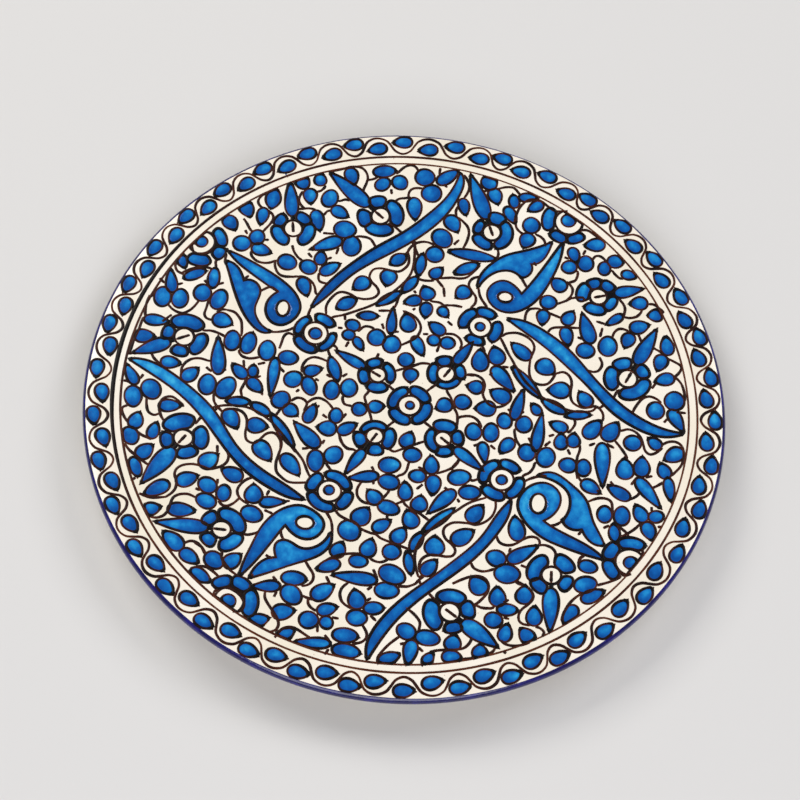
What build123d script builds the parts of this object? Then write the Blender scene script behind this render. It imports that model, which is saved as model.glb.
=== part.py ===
"""Hand painted ceramic plate, 32 cm across, standing on its foot ring.

Z = 0 is the plane that the foot stands on and the Z axis is the axis it was thrown on. -Y is the side
nearest the viewer. Millimetres throughout.

The plate is one fired clay body. Everything else is a coat that was laid on it in its own firing step:
the cream ground on the face, the glaze on the back, the cobalt band round the lip, the brown lines of
the border and some four hundred separate pools of blue glaze that make up the painted pattern.
"""
import math
import os

from build123d import *

os.makedirs("parts", exist_ok=True)

# ---- driving dimensions ----
PLATE_D = 320.0  # overall, over the coated lip
HEIGHT = 24.0  # foot plane to the top of the lip
DISH_SAG = 4.2  # how far the middle of the face lies below its edge
LIP_T = 5.0  # thickness of the rounded lip
FOOT_D = 190.0  # outside of the foot ring
FOOT_W = 7.0  # width of the foot ring
FOOT_BARE = 2.4  # height of bare clay left at the bottom of the foot ring
WELL_T = 7.2  # thickness of the middle of the plate
SHOULDER_T = 8.6  # thickness just outside the foot ring
COAT = 0.35  # thickness of the ground, the back glaze and the lip band
POOL = 0.22  # how far a pool of blue glaze stands above the ground
LINE_POOL = 0.12  # how far a brush line stands above the ground
BORDER_GAP = 16.6  # from the plate's edge in to the middle of the double ring line
RING_STEP = 4.2  # between the two ring lines
RING_W = 1.3  # width of one ring line
VINE_W = 1.0  # width of the wavy vine
OUTLINE = 0.6  # half of the brown outline that a pool stops short of

PLATE_R = PLATE_D / 2
LIP_R = LIP_T / 2
LIP_X = PLATE_R - LIP_R
BORDER_R = PLATE_R - BORDER_GAP
K = BORDER_R / 143.4  # the pattern below was laid out for a border of this radius

# the face is part of a sphere, which meets the rounded lip without a step
DISH_R = (LIP_X**2 + DISH_SAG**2) / (2 * DISH_SAG)
CENTRE_Z = HEIGHT - DISH_SAG
DISH_Z = CENTRE_Z + DISH_R
LIP_Z = DISH_Z - math.sqrt((DISH_R + LIP_R) ** 2 - LIP_X**2)

# ---- the pattern, in millimetres from the centre of the face ----
# round pools and pointed leaflets: x, y, length, width, direction of the tip in degrees
BERRIES = [
    (-113.6, 60.8, 12.6, 6, 30), (-103.8, 60, 12.5, 6.4, 90), (-108.3, 50.6, 10.4, 9.4, 90),
    (-119.2, 45.8, 11.6, 8.8, 90), (-128, 45.6, 12, 9, 95), (-126.4, -7.9, 12, 10, -60),
    (-134.6, -13, 12.4, 9, -80), (-132.8, -35, 10.6, 8.6, -60), (-127.9, -51.6, 11.6, 6.3, -65),
    (-65.3, 123, 9.5, 8, -60), (-84.8, 87, 9.2, 8.3, 80), (-92, 82.3, 9.8, 9.3, 20),
    (-67.7, 74.2, 10.4, 9.3, -20), (-99.6, 47.9, 12.5, 8.8, 75), (-90, 25.2, 12, 8.5, 90),
    (-81.8, 24.8, 13, 8.2, 80), (-72, 21.8, 12, 8.8, 90), (-61, 18.9, 10.4, 8.4, 0),
    (-77.6, 9, 7.6, 5.6, 90), (-99.2, -1.3, 12.2, 9.1, 90), (-89.9, -2, 13.6, 9.6, 65),
    (-62, -5.2, 10.6, 9.2, 60), (-92, -57, 10.2, 8.7, 150), (-83.7, -60.3, 9.6, 7.4, 90),
    (-91.6, -65.6, 10.8, 8.4, 160), (-68.8, -70, 11.4, 9, -20), (-83.7, -96.8, 10.8, 9, -40),
    (-23.3, 134.8, 12.5, 7.4, 12), (-23.5, 127, 9.5, 7.6, 50), (-50, 115, 11.2, 8.8, 75),
    (-40.3, 97.3, 12, 10.5, 0), (-36, 88, 12.4, 10, 90), (-56.7, 72.8, 9.6, 8.6, 150),
    (-30.7, 41.6, 8, 7, 160), (-32.2, 35.8, 7, 6.4, 180), (-57.1, 7.1, 10.2, 9.2, 45),
    (-29, 5.6, 10.8, 8.8, 90), (-48.8, 4.2, 11.5, 7.6, -65), (-37.4, 3.3, 11.4, 8.2, 90),
    (-22.6, -5.9, 8, 8, 0), (-33.8, -10.8, 9, 7.1, 90), (-32.8, -32.8, 10.6, 9.2, 60),
    (-41.2, -37.2, 12.6, 8.6, -85), (-20.9, -73.2, 12, 11, -50), (-44.8, -101.7, 12.6, 7.8, 0),
    (-45, -110.4, 12, 9.6, -45), (-35.3, -122.6, 9.8, 9.3, 0), (-26.9, -123, 7.4, 6.8, -60),
    (-1.9, 133.8, 10.6, 10.8, 120), (-14.6, 129, 9.3, 8.5, -50), (2.5, 124.3, 10.8, 11, -60),
    (10.2, 98, 12.2, 10.4, -50), (7.2, 88.1, 9.8, 9.8, 90), (11, 37.8, 7, 6.8, 0),
    (18.1, 36.9, 8, 7.5, 0), (-18, 36, 10, 9.5, 90), (-10, 33, 10.5, 9.5, 90), (-2, 24.9, 8.5, 8.5, 0),
    (5.9, -28.4, 9.6, 8.4, 0), (-4.8, -35.3, 11.4, 9, 10), (9.4, -39.8, 9, 7.4, 180),
    (-4.4, -44.6, 11, 8.7, 170), (-3.2, -58.7, 11.6, 7.9, -15), (0.5, -82.3, 9.4, 8.8, 0),
    (-15, -89, 9.7, 7.2, 0), (1.8, -94.4, 14, 10.2, -22), (0, -103, 12.3, 8.8, 0),
    (-5.4, -113, 10.2, 7, 8), (-12.8, -118.9, 10.4, 8.8, 0), (11.1, -123.3, 10.2, 8.6, 150),
    (-17.4, -128.6, 12.8, 8, 0), (-16.2, -136.6, 14, 7.8, -4), (32, 134.3, 9.5, 8.8, -50),
    (45.8, 124.4, 8.6, 6, 100), (55.7, 111, 10, 9.3, 95), (28.3, 4, 9, 8.8, 0),
    (49.8, -4.4, 9.3, 7.8, 100), (59.6, -5.3, 9.8, 8.6, 80), (43.6, -11.6, 11, 8.3, 90),
    (34.9, -12, 10, 8.5, 100), (29.9, -38.3, 11.8, 8.8, 15), (35.6, -46, 11.4, 8, 5),
    (50.9, -80.2, 10.2, 9, 160), (56.8, -88, 13, 10.6, 0), (58, -107, 10.4, 6.6, 5),
    (51.9, -113.1, 9.2, 8.6, 0), (21.4, -125.7, 12.5, 8.3, -5), (33.5, -134.3, 9.8, 7.4, 0),
    (85.1, 91, 9.8, 8.6, 90), (94.9, 89, 8.6, 6.8, 90), (76.8, 88, 8.5, 8, 200),
    (67.5, 66.2, 9, 8.5, 0), (99, 43.5, 12, 9.8, 90), (87.9, 39.9, 9.8, 9, 0), (62, -21, 10, 9, 100),
    (71.6, -22.6, 11.5, 9.5, 80), (82.6, -26, 9.3, 8.5, 180), (90.4, -26.6, 10, 7.7, 90),
    (95.3, -80.3, 9.8, 7.2, -10), (94.6, -90, 11.8, 9, 20), (100.4, 93.6, 8.8, 8, 0),
    (133.8, 15.2, 11, 10.5, 90), (124.6, 8.9, 10.3, 9.2, 90), (113.9, -10.5, 9.3, 9, 175),
    (127.1, -50.2, 8.2, 7, 20), (102, -51.2, 9.8, 7.8, 90), (110.4, -51.3, 11, 8.3, 90),
]
LEAFLETS = [
    (-27.6, -17.3, 11, 6.8, 36), (-95.6, -96.3, 11.2, 7.4, -33), (98.3, -95.6, 12.8, 7, 31),
    (101.8, 59.2, 10.6, 5.2, 220),
    (-121, 67.6, 9, 6, -62), (-129.3, 31.6, 13, 6.6, 0), (-134, 21.8, 10.6, 8, 8),
    (-119, 8.6, 10.3, 7.2, 0), (-108.4, 3.3, 10.6, 7.9, 48), (-116, -15.7, 11.5, 7.2, 8),
    (-131.3, -26, 10, 7.8, 80), (-122, -30.6, 10, 6.4, 80), (-124.6, -42.4, 10.6, 8.2, 52),
    (-102.2, -55, 11.6, 8.3, 28), (-116, -62, 14, 8, 215), (-102.8, -72, 13.8, 7.9, 2),
    (-117, -73.3, 9.5, 7.5, 22), (-104.6, -88.8, 13.5, 8.6, 140), (-60.3, 115, 9.6, 7.6, -82),
    (-92, 102.8, 10.5, 8, -60), (-83.5, 99.8, 10.8, 6.6, -95), (-99.3, 93.5, 10, 8, -50),
    (-81.8, 79.8, 10.8, 7.5, -12), (-96.2, 36, 11, 9, -15), (-84.3, 8.2, 10.8, 6.8, 138),
    (-75.7, 1.2, 10.4, 7, -42), (-85, -19, 12.4, 8.6, -55), (-72, -21.2, 10.8, 9, 0),
    (-67.4, -34.9, 13.2, 9, -50), (-93, -43.3, 11.2, 9.3, 45), (-80.9, -49.5, 11.8, 8.3, 158),
    (-69.2, -58.8, 10.8, 9.3, 95), (-74.9, -95.8, 10.6, 8.1, 48), (-89, -105.7, 11.8, 7.1, -28),
    (-40, 129.8, 10.8, 7.6, -68), (-56.2, 125.8, 8.4, 7, 100), (-44, 107.2, 10.4, 7.4, -28),
    (-55, 101, 13, 7.4, -72), (-51, 78.9, 8.8, 6.8, 90), (-45.6, 73.2, 12.2, 7, 38),
    (-28.8, 66.2, 10.4, 8.6, 225), (-57.6, 61, 11.6, 7.4, -68), (-26.7, 31.4, 9, 5.2, -58),
    (-48, 13.2, 9.8, 6.9, 22), (-56.3, -10.8, 8.8, 7.8, -30), (-46.6, -11.2, 11.8, 6.6, 72),
    (-37.6, -18.4, 10, 8.8, 180), (-53, -40.8, 14.5, 8.2, -48), (-25.2, -84, 9.3, 8, 72),
    (-29, -93.2, 12.4, 7, 205), (-30.3, -107, 13, 8.6, 40), (-27.3, -116.1, 10.3, 7, 22),
    (-47.8, -119.8, 11.4, 8.6, 15), (-58.9, -125.7, 10.8, 7.6, 22), (-45.4, -131.3, 10.4, 6.8, 38),
    (10, 135.3, 14, 7.4, 42), (20, 118.3, 10.8, 6.2, -76), (-5.6, 114.2, 14, 8, -82),
    (15, 107.4, 11.4, 8.6, -58), (9, 77.3, 8.6, 7, 50), (-15.3, 71.4, 10, 9, -95),
    (5.2, 64.8, 8.8, 8.4, 120), (-1.6, 59.4, 9.6, 6.6, 200), (5.6, 54.8, 9.4, 7, -92),
    (14.5, 54.6, 7.4, 6.2, -50), (-3, 46.4, 11.2, 8.6, 105), (12, 44.8, 10.4, 7, 145),
    (3.4, 33.6, 12.5, 6.6, -62), (1.1, 16.2, 8.4, 8, -90), (19, 1, 9, 8.5, 215),
    (-14.4, -3.4, 8.4, 7.4, 15), (2.7, -20.2, 9.8, 8, 70), (15.6, -32.8, 10.8, 7.8, 95),
    (17.4, -43.8, 11.4, 8, -88), (4.1, -48.7, 10.6, 7.4, 97), (-11, -53.5, 9.6, 8.2, 130),
    (11.6, -54.7, 9.4, 8.7, 82), (8, -63.7, 10.6, 8.7, 115), (-15.8, -64.6, 11.3, 9.8, 60),
    (-5.6, -68.6, 10.6, 7.2, 38), (3.3, -73, 10.2, 8.1, 62), (-10.8, -81.4, 10.6, 8.4, 78),
    (19.2, -88.6, 11, 7.6, 55), (-13.9, -109.2, 10.8, 8.8, 108), (4.4, -138, 11.4, 6.8, 28),
    (52.9, 127.6, 10.6, 5.6, 8), (35.8, 126.4, 10.2, 7.8, -68), (57.2, 122.3, 9.6, 6.6, 215),
    (44.6, 116, 11.5, 6.5, -60), (54, 101.5, 9.8, 8.5, -112), (23.4, 67, 9.4, 8.6, 230),
    (55.4, 36.2, 13.4, 7.6, 140), (43.2, 32.3, 11, 9, 110), (35.2, 28.8, 13, 9, 95),
    (33.8, 13.2, 8.7, 8, 175), (46.8, 9.7, 11.5, 9, 155), (39.9, 1.6, 10.8, 9, 185),
    (51.8, -18.3, 10.5, 7.3, 235), (39.2, -57.2, 11.8, 8.8, 58), (59.7, -63.3, 14, 8.4, 102),
    (34, -70.4, 13, 8.8, 38), (20.8, -76.8, 11, 10.2, 95), (43.2, -95.6, 11, 9.5, 130),
    (53, -100.6, 10.9, 8.4, 95), (57.9, -119.2, 10.2, 7.1, 80), (33.6, -126.8, 9, 8.5, 80),
    (46.6, -130.1, 8.2, 7.9, 92), (22.7, -136.2, 7.8, 5.6, 60), (89.3, 102.5, 11.2, 8, 190),
    (78.9, 95.4, 9.8, 6.4, -70), (72, 77.1, 9.8, 8.2, 140), (78.4, 58, 9.4, 7.5, 65),
    (65.2, 57.1, 9.4, 7, -95), (77.9, 47.3, 11.2, 7, -75), (68.6, 28.2, 11, 10, -35),
    (75.8, 15.8, 11.6, 9.6, 185), (89, 12, 10.2, 7.8, 125), (65, 3.8, 7.8, 5.6, 125),
    (93.9, -4.6, 13, 8.6, 55), (77, -4.7, 9.7, 6.9, 160), (84.6, -11.8, 8.6, 7.2, 90),
    (78.5, -13, 9.6, 7.2, 90), (94.6, -37, 11.5, 7.4, -32), (65.7, -98.3, 10.2, 8.8, 90),
    (88, -107, 12.6, 7.2, -112), (71, -109, 10.8, 7.9, 92), (68, -119.4, 9.4, 7.8, 130),
    (107.8, 86.2, 8.6, 6, -10), (113.5, 70, 9.6, 8, 190), (122.2, 63.7, 8.4, 7.6, 190),
    (114.5, 56.2, 10.6, 8, 20), (109, 47.8, 9.6, 7.5, -110), (128.9, 46.5, 11.4, 7.3, 100),
    (126, 36.4, 10.2, 7.6, -105), (128.5, 27, 10.5, 7.5, 200), (103, -5, 12.6, 9, 60),
    (124.8, -9.7, 8.6, 6.6, 140), (134.6, -15.5, 11.5, 8.5, 215), (119, -23.3, 11.7, 8.5, 90),
    (130, -24.6, 9.5, 7.2, 115), (110.8, -25.3, 12, 9.2, 95), (133, -34.6, 13.5, 5.8, -80),
    (108.4, -38.7, 13.2, 7, 150), (119.3, -49.2, 10.6, 7.4, 118), (123.9, -58.4, 10.8, 7.4, -68),
]
DROPS = [
    (-124.9, 55.5, 14.5, 6.4, 102), (-137.5, -0.6, 13.6, 6.1, 122), (-95.9, 15.6, 22, 7.6, 97),
    (-67.3, 7, 22.6, 6, -90), (-59.6, -62.2, 13.2, 6.2, 8), (-49, 87.2, 18, 7.6, 207),
    (-47.3, -23.2, 19, 8.2, 137), (-57.4, -107.4, 14.2, 6.3, 188), (-33, -134.3, 19, 6, 184),
    (-11.2, 46.6, 15.5, 5.4, 90), (-17, -43.2, 15.5, 6.3, 192), (-16, -98, 22.5, 7.2, 178),
    (13.8, -134.4, 14.4, 7.3, -95), (47.7, 19.2, 18, 8, -48), (56.1, 5.6, 18.6, 6.2, 78),
    (40.8, -23.3, 12.5, 6, -78), (22.2, -52.6, 19, 7.4, 229), (87.8, 52.9, 18.6, 8, 108),
    (67.2, -9, 22, 6.2, 84), (99.6, -24, 25, 8, -87), (63.6, -76.4, 17.8, 7.6, 35), (135.4, 4, 14.5, 7, -60),
    (122.9, -37.6, 20.5, 7.1, -52),
]
SPINDLES = [
    (-79.2, 111, 13, 8.3, 86), (-35.2, 53.8, 12.2, 7.6, 35), (-23.6, 48, 11, 5.6, 185),
    (-37.4, 15.5, 15, 6.4, 112), (-11.2, 82.8, 10.6, 7.2, 40), (26.5, 89.8, 25.5, 6.6, -5),
    (24.2, 81.5, 14.4, 6.6, 30), (107.2, -61, 10.8, 6, -82),
]
PISTIL_FLOWERS = [
    (-114.2, 24, 4.9, (207.7, 7, 27.5, 8), [(85, 95, 13), (-22, 75, 12), (-98, 48, 11.3), (169, 44, 11.4)]),
    (
        -107, -32.7, 4.7, (238.4, 7, 32.5, 9.6),
        [(112, 85, 13.5), (8, 70, 12.3), (-70, 60, 11.5), (195, 50, 11.3)],
    ),
    (-67, 94.5, 4.7, (99.4, 7, 29, 7.4), [(55, 50, 11), (-20, 82, 11.5), (218, 76, 11.5), (150, 45, 11)]),
    (-82.2, -80, 4.5, (180, 6, 32.5, 8), [(50, 105, 12), (-50, 75, 12), (-132, 45, 11.3), (140, 48, 11.3)]),
    (-22.8, 107.7, 4.7, (141.5, 8, 37, 9), [(105, 48, 12), (20, 95, 12), (-90, 85, 12), (195, 56, 12)]),
    (18.8, 19.1, 4.3, (59, 7, 23, 6), [(102, 48, 10.2), (182, 82, 9.4), (-71, 101, 8.5), (15, 53, 9.8)]),
    (-15.4, 14.6, 4, (153, 7, 25, 6), [(109, 53, 9.6), (18, 90, 8.9), (-87, 71, 10), (193, 57, 9.8)]),
    (-13.5, -20, 4.1, (241, 9, 26, 6), [(103, 120, 8.4), (-5, 78, 10.3), (-83, 45, 10.7), (200, 50, 10.7)]),
    (35.5, 104.5, 4.6, (112, 8, 36.5, 8.5), [(-12, 120, 11), (-125, 72, 11), (160, 55, 9.8), (76, 48, 12.3)]),
    (20.2, -17.9, 4, (-36, 7, 26, 6.5), [(87, 75, 10.8), (11, 50, 10.2), (-81, 54, 9.7), (193, 108, 8.9)]),
    (31, -111.2, 4.8, (-33.4, 7, 29, 9), [(90, 82, 12), (15, 49, 12), (-75, 50, 11), (195, 90, 12.8)]),
    (
        92.7, 72, 4.4, (17, 8, 24, 7),
        [(108, 42, 10.8), (55, 45, 10.8), (-27, 58, 10.2), (-100, 70, 10.8), (167, 66, 11.4)],
    ),
    (78, -86.6, 4.6, (-88, 6.5, 30.5, 8.2), [(155, 92, 12), (48, 60, 12.6), (-27, 50, 11), (228, 50, 11.5)]),
    (109.9, 25.8, 4.8, (66, 9, 33, 8), [(184, 79, 11.8), (-55, 110, 12.2), (33, 43, 11.8), (110, 53, 12)]),
]
RING_FLOWERS = [
    (33.8, 48.2, 5.6, (33.8, 48.2, 2.7), [(73.5, 57, 11.5), (-15, 72, 11.5), (-105, 55, 11), (148, 77, 11.5)]),
    (-49, 34.6, 6.3, (-48.9, 34.5, 3.5), [(152, 72, 11), (63, 58, 12), (-33, 75, 11), (238, 75, 11.8)]),
    (50.6, -37.2, 5.8, (50.7, -37.4, 2.9), [(150, 88, 11.5), (65, 60, 11.5), (-30, 76, 11.6), (-115, 68, 12)]),
    (-32.7, -53, 5.8, (-32.9, -52.4, 2.8), [(60, 90, 11.5), (152, 60, 12), (240, 95, 11.5), (-28, 58, 12)]),
]
RIM_FLOWERS = [
    (75, 114.8, 7.2, (74.8, 115.8, 4), [(175, 65, 14), (242, 43, 13.4), (294, 45, 13)]),
    (-112.3, 79.8, 6.8, (-112.7, 80.4, 3.4), [(26.5, 55, 13), (-27, 34, 13.5), (-92, 57, 13.8)]),
    (115.3, -75.8, 6.8, (115.7, -76.3, 3.6), [(87, 65, 13.2), (151.5, 46, 13.8), (208.5, 52, 13.5)]),
    (-74, -117.2, 7, (-74.2, -117.3, 3.8), [(115, 44, 13.5), (64, 44, 14), (0, 69, 14)]),
]
CENTRE_FLOWER = [
    (2, -0.8, 5.4, (2.2, -0.7, 2.4), [(149, 91, 11), (55, 70, 11.5), (-30, 85, 11.5), (238, 71, 11.5)]),
]

# slender lobes of the four lobed leaves, pointed at both ends: x, y, length, width, direction
LOBES = [
    (59.2, 18.7, 23, 6, -47), (74, 6.2, 15, 6.3, -28), (86, 2.6, 13.5, 5.2, 8),
    (21.6, -62.6, 20.5, 5.6, 45), (11.9, -75.6, 12.5, 6, 66), (9.4, -87.2, 13, 5.6, -76),
    (-82.8, -9, 12.8, 5.8, 4), (-71.2, -11.8, 12.6, 6, -28), (-59.3, -22.3, 22, 5.8, -52),
    (0.4, 81.2, 14, 6, 85), (-3.9, 68.9, 13, 6, 55), (-13.9, 59.4, 16, 5.6, 38),
]

# the four long leaves: the points along one edge, then back along the other
LONG_LEAVES = [
    [
        [(-52.5, 49.5), (-46, 63.5), (-33, 79), (-22.5, 89), (-10, 99), (2.5, 112), (9.7, 121.2), (14.3, 130.3),
         (16.4, 138.6)],
        [(16.4, 138.6), (18.2, 134.8), (17, 125.7), (12, 114.4), (3.4, 103), (-13.5, 88), (-34, 71.5), (-46.5, 56),
         (-52.5, 49.5)],
    ],
    [
        [(47.5, 54.2), (56, 53.5), (67.9, 48), (79.3, 39.4), (88.4, 29.4), (104, 13), (120, 2), (130, -1.8),
         (138.6, -3)],
        [(138.6, -3), (125, -5), (115, -1.5), (100, 9), (91.5, 18.5), (81.5, 28), (65.6, 41.6), (54.3, 49.4),
         (47.5, 54.2)],
    ],
    [
        [(55.8, -48.6), (51.5, -54.3), (43.8, -68.8), (31.5, -83.4), (19.3, -95.6), (6.5, -108.4), (-2.5, -121.1),
         (-6.6, -133), (-5.8, -139.4)],
        [(-5.8, -139.4), (-3.2, -133.8), (3.4, -121.5), (12.9, -108.8), (26, -95.6), (41.1, -80.2), (51.5, -64.7),
         (55.2, -56), (55.8, -48.6)],
    ],
    [
        [(-44.8, -58.8), (-54.4, -52.5), (-68, -44.7), (-81.6, -32.9), (-93.9, -16.1), (-107.5, -4.3),
         (-120.3, 3.9), (-131, 7.9), (-139.2, 7.6)],
        [(-139.2, 7.6), (-127.5, 1.2), (-113.9, -7), (-100.7, -18.4), (-87, -34.3), (-74.8, -46.5), (-61.2, -54.7),
         (-50, -58.8), (-44.8, -58.8)],
    ],
]

# the four hooks, which curl round a bare eye: the outer edge, the inner edge, then the eye
HOOKS = [
    (
        [(72.6, 102), (71.5, 91.6), (67, 78), (61.5, 67.5), (55.2, 61.2), (48.8, 58.5), (42.9, 59.1), (37.9, 63),
         (36.1, 68), (38.8, 73.9), (43.8, 76.2), (49.7, 73.5), (53.4, 69)],
        [(53.4, 69), (60.5, 80), (65, 88), (72.6, 102)],
        (45.2, 66.9, 4.2, 3.4, 0),
    ),
    (
        [(-98, 76.6), (-93, 75), (-85, 71.5), (-75, 66.5), (-68, 62), (-62, 56.5), (-58.5, 47.5), (-63, 39.5),
         (-67, 37.5), (-71, 38.3), (-75.3, 46), (-73.6, 52.5), (-69.8, 56.2)],
        [(-69.8, 56.2), (-78, 61), (-85, 65.5), (-93, 71.3), (-98, 76.6)],
        (-66.9, 47, 3.6, 5, 0),
    ),
    (
        [(102.6, -75.6), (93, -73.6), (81.5, -70.2), (73.4, -67), (66.5, -62), (61.5, -55.6), (59.7, -49.7),
         (64.3, -40.2), (68.4, -37.7), (72.5, -37.2), (79.5, -42.9), (79, -50), (75, -55.5), (71.8, -57.6)],
        [(71.8, -57.6), (83.8, -64.3), (93, -68.6), (102.6, -75.6)],
        (69.4, -48.5, 4.2, 5.8, 0),
    ),
    (
        [(-70.6, -103.2), (-68.5, -93), (-66.2, -85.6), (-63.9, -78.4), (-59.4, -70.6), (-53.5, -65.2),
         (-45.3, -62.7), (-40.3, -64.3), (-33.7, -71.5), (-38.5, -79.3), (-43.5, -79.7), (-48, -77.5), (-52, -73.2)],
        [(-52, -73.2), (-57.5, -82.9), (-64.5, -95), (-70.6, -103.2)],
        (-42.7, -71.4, 4.7, 3.8, 0),
    ),
]

# the four wings beside them, each with a sharp notch: edges from one corner to the next
WINGS = [
    [
        [(66.8, 101.8), (60, 97.8), (52, 94.5), (44, 91.3), (38.4, 87), (32.5, 79.4), (30.8, 71.5)],
        [(30.8, 71.5), (36, 78.9), (40.6, 82), (45.2, 83), (52.8, 79.4)],
        [(52.8, 79.4), (56.2, 81.4), (57.6, 84.8), (56.5, 88.3)],
        [(56.5, 88.3), (60, 88.6), (63, 91.3), (66.8, 101.8)],
    ],
    [
        [(-98.8, 70.5), (-94.5, 69.3), (-91.3, 66), (-88.6, 60)],
        [(-88.6, 60), (-85, 61), (-81.3, 59), (-79.8, 56), (-81.3, 46), (-77.5, 36.5), (-71.5, 32.8)],
        [(-71.5, 32.8), (-76, 32.2), (-80.5, 35), (-89, 47), (-93, 56), (-98.8, 70.5)],
    ],
    [
        [(68.4, -33.2), (75.2, -31.1), (84.3, -36.3), (93, -45.6), (96.1, -55.2), (99.3, -61.5), (102.5, -67.9)],
        [(102.5, -67.9), (97.5, -67.5), (93.8, -64.3), (91.5, -60)],
        [(91.5, -60), (87.5, -60.8), (83.5, -59), (82, -56.5)],
        [(82, -56.5), (85.2, -49), (83.4, -40.2), (79.3, -36.5), (74.7, -34.3), (68.4, -33.2)],
    ],
    [
        [(-29.8, -75.6), (-29.4, -80.6), (-32, -85.6), (-44.8, -93.4), (-56.6, -99.5), (-65.7, -103.8)],
        [(-65.7, -103.8), (-61.6, -95.6), (-58.5, -93.1), (-53.9, -92)],
        [(-53.9, -92), (-55.3, -88), (-54.9, -84), (-53, -82.5)],
        [(-53, -82.5), (-50.7, -82.2), (-43, -85.6), (-38.5, -85.2), (-34.4, -82.9), (-29.8, -75.6)],
    ],
]

# directions of the 38 leaves along the inner side of the border; an outer leaf sits midway between two
BORDER_LEAVES = [
    6.8, 15.8, 24.5, 34.3, 43.6, 52.9, 61.2, 71.4, 80.2, 90.6, 100.8, 110, 119.6, 128.7, 138, 147, 156.4, 165.6,
    174.8, 185, 194.5, 203.9, 213.3, 222.7, 232, 241.8, 251.2, 260.8, 269.6, 279.8, 289.2, 298.5, 307.7, 318,
    328.1, 338.6, 348.1, 357.5,
]
INNER_LEAF_R = BORDER_R + 7.2
OUTER_LEAF_R = BORDER_R + 11.1


# ---- helpers ----
def polar(r, degrees):
    """A point at that radius and direction."""
    return (r * math.cos(math.radians(degrees)), r * math.sin(math.radians(degrees)))


def placed(points, x, y, degrees):
    """Points turned about the origin and moved to x, y."""
    c = math.cos(math.radians(degrees))
    s = math.sin(math.radians(degrees))
    return [(x + px * c - py * s, y + px * s + py * c) for px, py in points]


def brush_pool(x, y, length, width, degrees, point):
    """Outline of one touch of the brush. The tip is sharper as point grows."""
    peak = max(math.sin(math.pi * i / 60) * math.sin(math.pi * i / 120) ** point for i in range(61))
    half_l = length / 2 - OUTLINE
    half_w = width / 2 - OUTLINE
    points = []
    for i in range(18):
        t = 2 * math.pi * i / 18
        points.append((half_l * math.cos(t), half_w * math.sin(t) * math.sin(t / 2) ** point / peak))
    return placed(points, x, y, degrees)


def spindle(x, y, length, width, degrees):
    """Outline of a stroke that is pointed at both ends."""
    half_l = length / 2 - OUTLINE
    half_w = width / 2 - OUTLINE
    points = []
    for i in range(18):
        t = 2 * math.pi * i / 18
        points.append((half_l * math.cos(t), half_w * math.sin(t) * abs(math.sin(t)) ** 0.6))
    return placed(points, x, y, degrees)


def petal(x, y, eye_r, middle, span, outer_r):
    """Outline of one petal: a rounded piece of a ring about the eye of the flower."""
    inner = eye_r + OUTLINE + 0.25
    outer = outer_r - OUTLINE * 0.75
    mid_r = (inner + outer) / 2
    half_t = (outer - inner) / 2
    half_a = math.radians(span) / 2 + 0.1 / mid_r
    points = []
    for i in range(18):
        t = 2 * math.pi * i / 18
        along = math.copysign(abs(math.cos(t)) ** 0.54, math.cos(t)) * half_a
        across = math.copysign(abs(math.sin(t)) ** 0.54, math.sin(t)) * half_t
        direction = math.degrees(math.radians(middle) + along)
        px, py = polar(mid_r + across, direction)
        points.append((x + px, y + py))
    return points


def scaled(points):
    """Pattern points brought to the size of this plate."""
    return [(x * K, y * K) for x, y in points]


def closed_face(points):
    """Flat face inside one smooth closed outline."""
    return Face(Wire([Edge.make_spline([Vector(*p) for p in points], periodic=True)]))


def cornered_face(edges):
    """Flat face inside edges that meet at corners."""
    return Face(Wire([Edge.make_spline([Vector(*p) for p in edge]) for edge in edges]))


def sphere_z(r, lift=0.0):
    """Height of the face at the radius r, or of the surface that lies lift above it."""
    return DISH_Z - math.sqrt((DISH_R - lift) ** 2 - r * r)


def layer(thickness, far):
    """The thin shell of space just above the ground coat, out to the radius far."""
    low = Edge.make_three_point_arc(
        (0, 0, sphere_z(0)),
        (far / 2, 0, sphere_z(far / 2)),
        (far, 0, sphere_z(far)),
    )
    high = Edge.make_three_point_arc(
        (far, 0, sphere_z(far, thickness)),
        (far / 2, 0, sphere_z(far / 2, thickness)),
        (0, 0, sphere_z(0, thickness)),
    )
    side = Edge.make_line((far, 0, sphere_z(far)), (far, 0, sphere_z(far, thickness)))
    axis = Edge.make_line((0, 0, sphere_z(0, thickness)), (0, 0, sphere_z(0)))
    return revolve(Face(Wire([low, side, high, axis])), Axis.Z)


# long strokes follow the dish: they are cut out of these layers
POOL_LAYER = layer(POOL, LIP_X - 0.1)
LINE_LAYER = layer(LINE_POOL, LIP_X - 0.1)


def followed(faces, shell):
    """Solids of glaze that follow the dish, one to a face."""
    solids = []
    for face in faces:
        blank = extrude(Pos(0, 0, CENTRE_Z - 1) * face, DISH_SAG + 3, dir=(0, 0, 1))
        solids.extend((blank & shell).solids())
    return solids


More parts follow.
